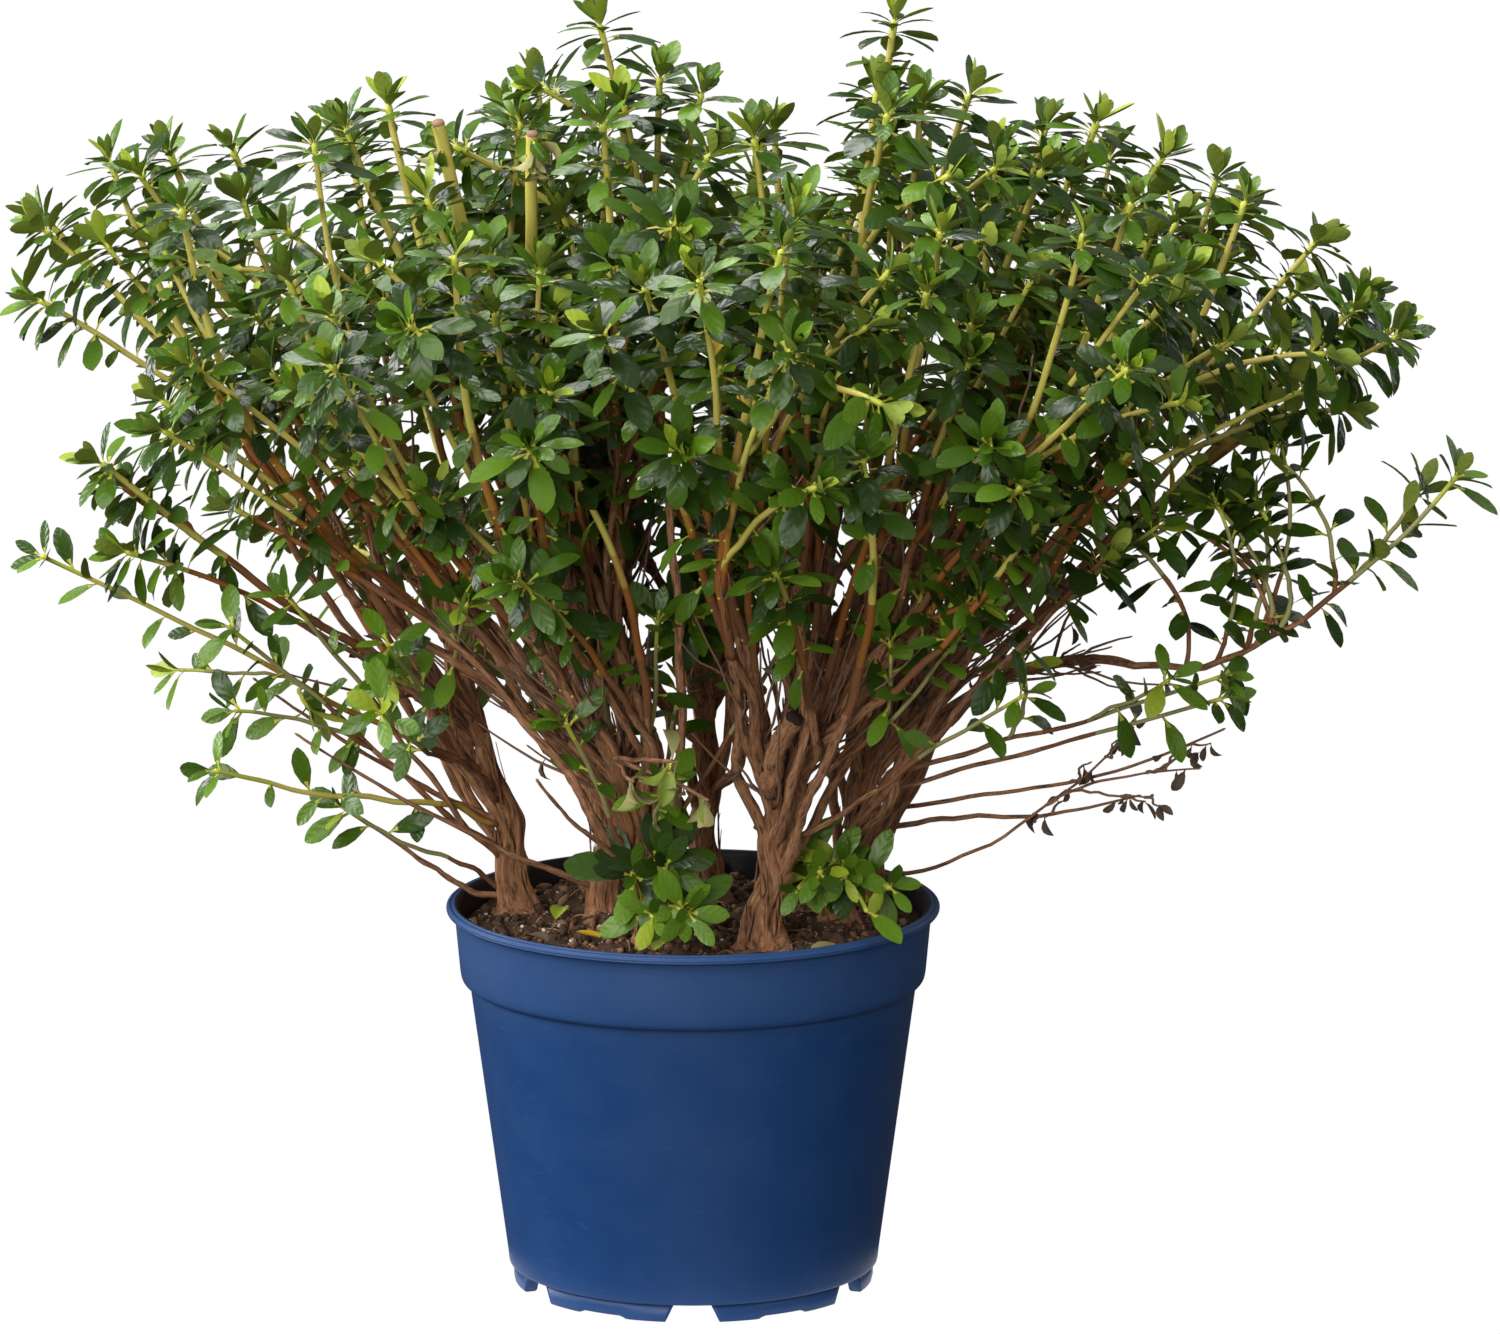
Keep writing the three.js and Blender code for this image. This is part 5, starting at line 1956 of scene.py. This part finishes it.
    def draped(self) -> tuple[Twigs, LeafSet]:
        """Grows a low twig of the right tuft, with one bright leaf that hangs over the pot's lip.

        Returns:
            The twig and the leaf.
        """
        start = self.skeleton.stems["stem_right"].point(np.array([0.16]))
        leaving = unit(unit(DRAPED_END - start) + 0.5 * UP)
        twig = Twigs.grown(start, leaving, DRAPED_END, (1.3, 0.9), 2.0, self.rng)
        forward = unit(np.array([[12.0, -16, -6]]))
        face = squared(np.array([[0.0, -0.5, 1]]), forward)
        length, width, curl, fold = np.array([[27.0], [10.5], [0.55], [0.2]])
        skin = np.array([int(LeafSlot.FRESH)])
        return twig, LeafSet(DRAPED_END, forward, face, length, width, curl, fold, skin)

    def long_twigs(self) -> Twigs:
        """Grows the long bare twigs at the left, from low on the stems out to under the crown.

        Returns:
            The twigs.
        """
        stems = [self.skeleton.stems[name] for name in LONG_STEMS]
        starts = np.stack([stem.point(at) for stem, at in zip(stems, LONG_STARTS)])
        leaving = unit(LONG_ENDS - starts + [0, 0, -20])
        return Twigs.grown(starts, leaving, LONG_ENDS, (1.7, 0.6), 4.0, self.rng)

    def build(self, leaf_skins: list, twig_skins: list) -> list[Object]:
        """Makes the undergrowth's leaves and twigs.

        Args:
            leaf_skins: the leaves' materials.
            twig_skins: the twigs' materials.

        Returns:
            The pieces.
        """
        tufts = [tuft.grow(self.skeleton) for tuft in TUFTS]
        wilting, wilted = self.wilted()
        spray = self.dry_spray()
        on_boughs = self.twiglets(self.limbs(), self.twiglets_on_boughs, (25, 105), 0.12)
        on_shoots = self.twiglets(self.mains, self.twiglets_on_shoots, (20, 80), 0.05)
        dead = Twigs.joined([on_boughs, on_shoots])
        cut, hanging = self.cut_shoots()
        bare = self.long_twigs()
        low, draped = self.draped()
        sets = [*[leaves for _, leaves in tufts], wilted, hanging, self.fallen(), draped]
        for parents, chance, lengths in ((spray, 0.9, (8, 15)), (spray, 0.8, (7, 12)), (dead, 0.2, (8, 17))):
            sets.append(self.curled(parents, chance, LeafSlot.DEAD, lengths))
        leaves = LeafSet.joined(sets).surface().piece("low_leaves", leaf_skins)
        green = Twigs.joined([*[twigs for twigs, _ in tufts], low])
        wood = [
            green.surface(8, 6, TUFT_SKINS, 1.3),
            wilting.surface(8, 6, BARK_SKINS),
            dead.surface(6, 4, DRY_SKINS),
            bare.surface(26, 7, BARK_SKINS, 1.0, None, 0.12),
            cut,
        ]
        twigs = Surface.joined(wood).piece("low_twigs", twig_skins)
        dry_twigs = spray.surface(20, 6, SPRAY_SKINS).piece("dry_twigs", twig_skins)
        return [
            fitted(leaves, ["foliage_tuft_front", "foliage_tuft_right"]),
            fitted(twigs),
            fitted(dry_twigs, ["dry_spray"]),
        ]


@dataclass
class Pot:
    """A turned and moulded nursery pot: beaded lip, overhanging collar, and six stepped feet."""

    lip_radius: float = 115.0
    collar_top: float = 111.0
    collar_low: float = 108.0
    shoulder_radius: float = 104.0
    base_radius: float = 86.5
    shoulder: float = 144.0
    floor: float = 8.5
    wall: float = 1.6
    foot_radius: float = 84.2
    foot_span: float = 49.0
    feet_top: float = 9.6
    segments: int = 224

    # A foot's section: how far in from its outer face, and its height.
    FOOT_SECTION = np.array(
        [[0, 9.6], [0, 1.2], [0.25, 0.3], [0.9, 0], [5, 0], [5.7, 0.4], [6, 1.2], [6, 9.6]]
    )

    def outline(self) -> Array:
        """Draws the shell's outline as corners of radius, height and rounding.

        Returns:
            Its points, from the middle of its underside up the wall and back down inside.
        """
        top = POT_TOP
        lip = self.lip_radius
        base = self.base_radius
        wide = self.shoulder_radius
        step = self.shoulder
        underside = [(2, self.floor, 0), (base - 0.2, self.floor, 1.6), (base + 0.4, self.floor + 6, 3)]
        shoulder = [(wide - 0.3, step - 4.5, 5), (wide, step - 1.2, 1.0)]
        collar = [
            (self.collar_low - 0.4, step + 0.2, 1.5), (self.collar_low + 0.4, step + 3.2, 2.4),
            (self.collar_top - 0.2, top - 6.5, 4), (self.collar_top + 0.3, top - 4.4, 0.8),
        ]
        bead = [
            (lip - 0.7, top - 3.9, 0.9), (lip, top - 2.4, 1.0), (lip - 0.5, top - 0.7, 0.9),
            (lip - 1.9, top - 0.2, 0.7), (lip - 2.5, top - 1.0, 0.5), (lip - 3.1, top + 0.1, 0.5),
            (lip - 4.6, top, 0.6),
        ]
        inside = [
            (self.collar_top - self.wall, top - 2, 1.5), (self.collar_low - self.wall, step + 4, 3),
            (wide - self.wall, step - 1, 2), (base - self.wall, self.floor + self.wall, 2),
            (2, self.floor + self.wall, 0),
        ]
        return rounded(underside + shoulder + collar + bead + inside)

    def feet(self) -> Surface:
        """Makes the feet.

        A foot is a ring of its section carried round an arc. Its underside is raised by up to 1.4 mm in the
        middle of the arc, and its ends slope in by a few degrees towards the ground.

        Returns:
            The six feet's surface.
        """
        across, height = self.FOOT_SECTION.T
        arc = np.linspace(-1, 1, 41)[:, None]
        raised = 1.4 * (1 / (1 + np.exp((np.abs(arc) - 0.36) * 60)))
        z = np.maximum(height, raised + np.minimum(height, 1.2) * 0.5 * (raised > 0.01))
        half = self.foot_span / 2 - 3.2 * (1 - np.clip(height / 8.5, 0, 1))
        turn = np.radians(np.arange(6) * 60 - 60.0)[:, None, None] + np.radians(arc * half)
        radius = self.foot_radius - across
        points = np.stack([radius * np.cos(turn), radius * np.sin(turn), z + 0 * turn], axis=-1)
        poles = points[:, [0, -1]].mean(axis=2)
        return woven(points[:, ::-1], True, poles[:, ::-1])

    def turned(self, outline: Array, segments: int, slots: Array | int = 0) -> Surface:
        """Returns an outline of radii and heights as a closed shell, with poles on the axis."""
        poles = np.array([[[0, 0, outline[0, 1]], [0, 0, outline[-1, 1]]]], float)
        return woven(lathe(outline, segments)[None], True, poles, slots)

    def build(self, plastic: Material, lining: Material) -> Object:
        """Makes the pot, with the drain plug's pad under its floor.

        Args:
            plastic: its own material.
            lining: that of its inside.

        Returns:
            The piece.
        """
        outline = self.outline()
        inside = np.arange(len(outline) - 1) > np.argmax(outline[:, 1])
        shell = self.turned(outline, self.segments, inside[None].astype(int))
        plug = rounded([(2, 0, 0), (24, 0, 0.8), (24, self.feet_top, 0.1), (2, self.feet_top, 0)])
        surface = Surface.joined([shell, self.turned(plug, 64), self.feet()])
        return fitted(surface.piece("nursery_pot", [plastic, lining]), ["pot"])


class SoilSlot(IntEnum):
    """The skins of the soil."""

    DAMP = 0
    DRY = 1
    PERLITE = 2
    FIBRE = 3
    CHIP = 4


# Damp peat is dark and rough, its dry crumbs are paler, and perlite, coir and bark chips stand out in it.
SOIL_SKINS = (
    PlantSkin("damp_peat", "#4a3626", 0.96, grain_mm=1.6, depth_mm=1.4),
    PlantSkin("dry_peat_crumb", "#7c5f45", 0.95, grain_mm=1.2, depth_mm=0.8),
    PlantSkin("perlite_grain", "#c9c3b6", 0.9, grain_mm=0.8, depth_mm=0.5),
    PlantSkin("coir_fibre", "#96744f", 0.9, grain_mm=0.8, depth_mm=0.3),
    PlantSkin("bark_chip", "#7a4f35", 0.9, grain_mm=1.2, depth_mm=0.7),
)


@dataclass
class Soil:
    """Peat with its crumbs, grains of perlite, fibres and chips of bark."""

    radius: float = 108.6
    level: float = SOIL_LEVEL
    seed: int = 5

    # The sizes of clod: width and height in millimetres, and how many there are.
    CLODS = ((11.0, 2.2, 90), (5.0, 1.6, 420), (2.6, 0.9, 900))

    def height(self, x: Array, y: Array) -> Array:
        """Works out the peat's height: its level, a few slow swells, and many small clods.

        A clod is a bump of height up · exp(-(distance² / width²)^1.6).

        Args:
            x: places across.
            y: places in depth.

        Returns:
            The height at each place.
        """
        rng = default_rng(self.seed)
        height = self.level - 1.2 + 0.9 * np.sin(x / 31 + 1) * np.cos(y / 27)
        for size, tall, count in self.CLODS:
            middles = on_disc(self.radius, count, rng)
            rise = tall * rng.uniform(0.3, 1.0, count)
            wide = size * rng.uniform(0.6, 1.2, count)
            for cx, cy, up, width in zip(*middles, rise, wide):
                height = height + up * np.exp(-(((x - cx) ** 2 + (y - cy) ** 2) / width**2) ** 1.6)
        return height

    def bed(self) -> Surface:
        """Makes the peat: rings and turns of points at the peat's height, and a skirt down the pot's wall.

        Returns:
            The peat's surface, closed underneath.
        """
        reach = np.sqrt(np.linspace(0.0004, 1, 80)) * self.radius
        turn = WHOLE_TURN * np.arange(220) / 220
        x = reach[:, None] * np.cos(turn)
        y = reach[:, None] * np.sin(turn)
        z = self.height(x, y)
        top = np.stack([x, y, z], axis=-1)[::-1]
        foot = top[:1] * [0.955, 0.955, 1]
        foot[..., 2] = self.level - 20
        grid = np.concatenate([foot, top])[None]
        return woven(grid, True, np.array([[[0, 0, self.level - 20], [0, 0, float(z[0].mean())]]]))

    def crumbs(self, count: int, sizes: tuple, flat: float, slot: int, rng: Generator) -> Surface:
        """Scatters small lumps on the peat: rough balls of four rings of five points.

        Args:
            count: how many there are.
            sizes: the smallest and the largest radius, in millimetres.
            flat: how much shorter than wide they are.
            slot: their material slot.
            rng: the seeded numbers.

        Returns:
            The lumps' surface.
        """
        x, y = on_disc(self.radius - 4, count, rng)
        middle = np.stack([x, y, self.height(x, y)], -1)
        size = mixed(sizes[0], sizes[1], rng.uniform(0, 1, count) ** 2.2)
        axis = unit(rng.normal(0, 1, (count, 3)) * [1, 1, 0.5])
        stretch = rng.uniform(0.7, 1.5, (count, 1))
        rings = np.linspace(-0.88, 0.88, 4)
        centres = middle[:, None] + axis[:, None] * (rings * size[:, None] * stretch)[..., None]
        centres[..., 2] += (size * flat * 0.4)[:, None]
        radii = (np.sqrt(1 - rings**2) * size[:, None])[..., None] * rng.uniform(0.65, 1.15, (count, 4, 5))
        return tubes(centres, radii * flat, 5, slot)

    def fibres(self, count: int, rng: Generator) -> Surface:
        """Scatters thin curved fibres and rootlets on the peat.

        Args:
            count: how many there are.
            rng: the seeded numbers.

        Returns:
            Their surface.
        """
        x, y = on_disc(self.radius - 14, count, rng)
        start = np.stack([x, y, self.height(x, y) + 1.0], -1)
        way = unit(rng.normal(0, 1, (count, 3)) * [1, 1, 0.25])
        end = start + way * rng.uniform(6, 22, (count, 1))
        wide = np.hypot(end[:, 0], end[:, 1])[:, None]
        end[:, :2] *= np.minimum(1, (self.radius - 3) / wide)
        end[:, 2] = self.height(end[:, 0], end[:, 1]) + rng.uniform(0.4, 2.5, count)
        twigs = Twigs.grown(start, unit(way + 0.5 * UP), end, (0.45, 0.25), 2.5, rng)
        share = np.tile(np.linspace(0, 1, 7), (count, 1))
        radius = mixed(twigs.root_radius[:, None], twigs.tip_radius[:, None], share)
        return tubes(twigs.points(share), radius, 5, SoilSlot.FIBRE)

    def build(self) -> Object:
        """Makes the soil and what lies in it.

        Returns:
            The piece.
        """
        rng = default_rng(self.seed + 1)
        parts = [
            self.bed(),
            self.crumbs(1100, (0.9, 3.8), 0.8, SoilSlot.DAMP, rng),
            self.crumbs(700, (0.8, 3.2), 0.8, SoilSlot.DRY, rng),
            self.crumbs(210, (0.4, 1.5), 0.9, SoilSlot.PERLITE, rng),
            self.crumbs(130, (1.2, 4.5), 0.45, SoilSlot.CHIP, rng),
            self.fibres(70, rng),
        ]
        soil = Surface.joined(parts).piece("peat", [skin.material() for skin in SOIL_SKINS])
        return fitted(soil, ["soil"])


@dataclass(frozen=True)
class Softbox:
    """A lamp of a width, in metres, and of so many watts, which shines on the plant from its place."""

    name: str
    place: tuple
    width: float
    watts: float


SOFTBOXES = (
    Softbox("softbox_front", (-1.0, -3.3, 1.1), 1.5, 53),
    Softbox("softbox_left", (-2.0, -0.9, 1.5), 0.9, 24),
    Softbox("softbox_right", (1.9, -1.2, 1.5), 0.6, 6),
    Softbox("softbox_top", (-0.5, 0.7, 2.2), 1.5, 46),
    Softbox("strip_left", (-1.8, 0.55, 0.7), 0.4, 26),
    Softbox("strip_right", (1.4, 1.1, 0.7), 0.08, 1.6),
)


@dataclass
class Studio:
    """The white floor, the soft light and the camera, in metres."""

    camera_place: tuple = (0.0265, -4.0, 1.094)
    camera_aim: tuple = (0.0265, 0.0, 0.291)
    lens: float = 211.5
    sensor: float = 36.0
    floor_radius: float = 105.0
    sun_strength: float = 2.5
    sun_width: float = 55.0
    softbox_height: float = 1.2

    def build(self) -> None:
        """Sets the floor, the light and the camera."""
        self.floor()
        self.light()
        self.camera()

    def floor(self) -> None:
        """Makes a round floor that glows white, so that no shadow falls on it, as wide as the view needs."""
        turn = WHOLE_TURN * np.arange(96) / 96
        rim = self.floor_radius * np.stack([np.cos(turn), np.sin(turn), 0 * turn], axis=-1)
        around = np.arange(len(rim))
        after = (around + 1) % len(rim)
        faces = np.stack([0 * around + len(rim), around, after, after], axis=-1)
        surface = Surface(np.vstack([rim, [0, 0, 0]]), faces, 0 * around, np.zeros((len(rim), 4, 2)))
        material = new_material(
            "light_table_white",
            {"Base Color": (0, 0, 0, 1), "Roughness": 0.9, "Specular IOR Level": 0.0,
             "Emission Color": (1, 1, 1, 1), "Emission Strength": 1.0},
        )[0]
        floor = surface.piece("floor", [material])
        floor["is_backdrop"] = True

    def light(self) -> None:
        """Lights the plant: a soft sun from above, four softboxes, two strips behind and a graded sky.

        The sky is white where the camera sees it. To the plant it is brighter overhead and in front.
        """
        scene = bpy.context.scene
        scene.view_settings.view_transform = "Standard"
        world = bpy.data.worlds.new("studio_white")
        scene.world = world
        world.use_nodes = True
        tree = world.node_tree
        tree.nodes.clear()
        seen = add_node(tree, "LightPath")["Is Camera Ray"]
        place = add_node(tree, "TexCoord")["Generated"]
        parts = add_node(tree, "SeparateXYZ", {}, {0: place})
        above = add_node(
            tree, "MapRange", {}, {"Value": parts[2], "From Min": 0.0, "To Min": 0.06, "To Max": 0.55}
        )[0]
        ahead = add_node(
            tree, "MapRange", {}, {"Value": parts[1], "From Min": -0.2, "From Max": -1.0, "To Max": 0.3}
        )[0]
        sky = add_node(tree, "Math", {"operation": "ADD"}, {0: above, 1: ahead})[0]
        strength = add_node(tree, "Mix", {}, {0: seen, 2: sky, 3: 1.0})[0]
        shown = add_node(tree, "Background", {}, {"Color": (1, 1, 1, 1), "Strength": strength})[0]
        add_node(tree, "OutputWorld", {}, {"Surface": shown})
        sun = bpy.data.lights.new("overhead_sun", "SUN")
        sun.energy = self.sun_strength
        sun.angle = math.radians(self.sun_width)
        self.place(sun, (-1.5, -1.2, 3.0), (0.0, 0.0, 0.3))
        for box in SOFTBOXES:
            lamp = bpy.data.lights.new(box.name, "AREA")
            lamp.shape = "RECTANGLE"
            lamp.size = box.width
            lamp.size_y = self.softbox_height
            lamp.energy = box.watts
            self.place(lamp, box.place, (0.0, 0.0, 0.35))

    def place(self, data: bpy.types.ID, place: tuple, aim: tuple) -> Object:
        """Puts a lamp or a camera into the scene.

        Args:
            data: the lamp or the camera.
            place: where it stands.
            aim: the point that it is turned to.

        Returns:
            Its object.
        """
        made = bpy.data.objects.new(data.name, data)
        made.location = place
        made.rotation_euler = (Vector(aim) - Vector(place)).to_track_quat("-Z", "Y").to_euler()
        bpy.context.scene.collection.objects.link(made)
        return made

    def camera(self) -> None:
        """Sets a long lens, which looks a little down at the plant and is level across it."""
        data = bpy.data.cameras.new("camera")
        data.sensor_fit = "HORIZONTAL"
        data.sensor_width = self.sensor
        data.lens = self.lens
        data.clip_end = 200
        bpy.context.scene.camera = self.place(data, self.camera_place, self.camera_aim)


def main() -> None:
    """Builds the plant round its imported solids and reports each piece."""
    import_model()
    solids_box = [list(corner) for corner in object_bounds()]
    Studio().build()
    fan = CrownFan()
    skeleton = Skeleton(fan, [*ringed_masses(fan), *SIDE_MASSES, *FILL_MASSES])
    leaf_skins = [skin.material() for skin in LEAF_SKINS]
    twig_skins = [skin.material() for skin in TWIG_SKINS]
    # The inside of the pot's wall is given a near-black plastic.
    lining = MouldedPolypropylene("moulded_polypropylene_black", "#0f0f13", "#2a2a30")
    pieces = [Pot().build(MouldedPolypropylene().material(), lining.material()), Soil().build()]
    pieces += Woodwork(skeleton).build(FibrousBark().material())
    crown = Crown(fan, skeleton)
    pieces += crown.build(leaf_skins, twig_skins)
    pieces += Undergrowth(fan, skeleton, crown.mains).build(leaf_skins, twig_skins)
    for piece in pieces:
        LOG.info("%s: %d triangles", piece.name, sum(len(face.vertices) - 2 for face in piece.data.polygons))
    {"cad": solids_box, "visual": [list(corner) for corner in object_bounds()]}


if __name__ == "__main__":
    logging.basicConfig(level=logging.INFO)
    main()
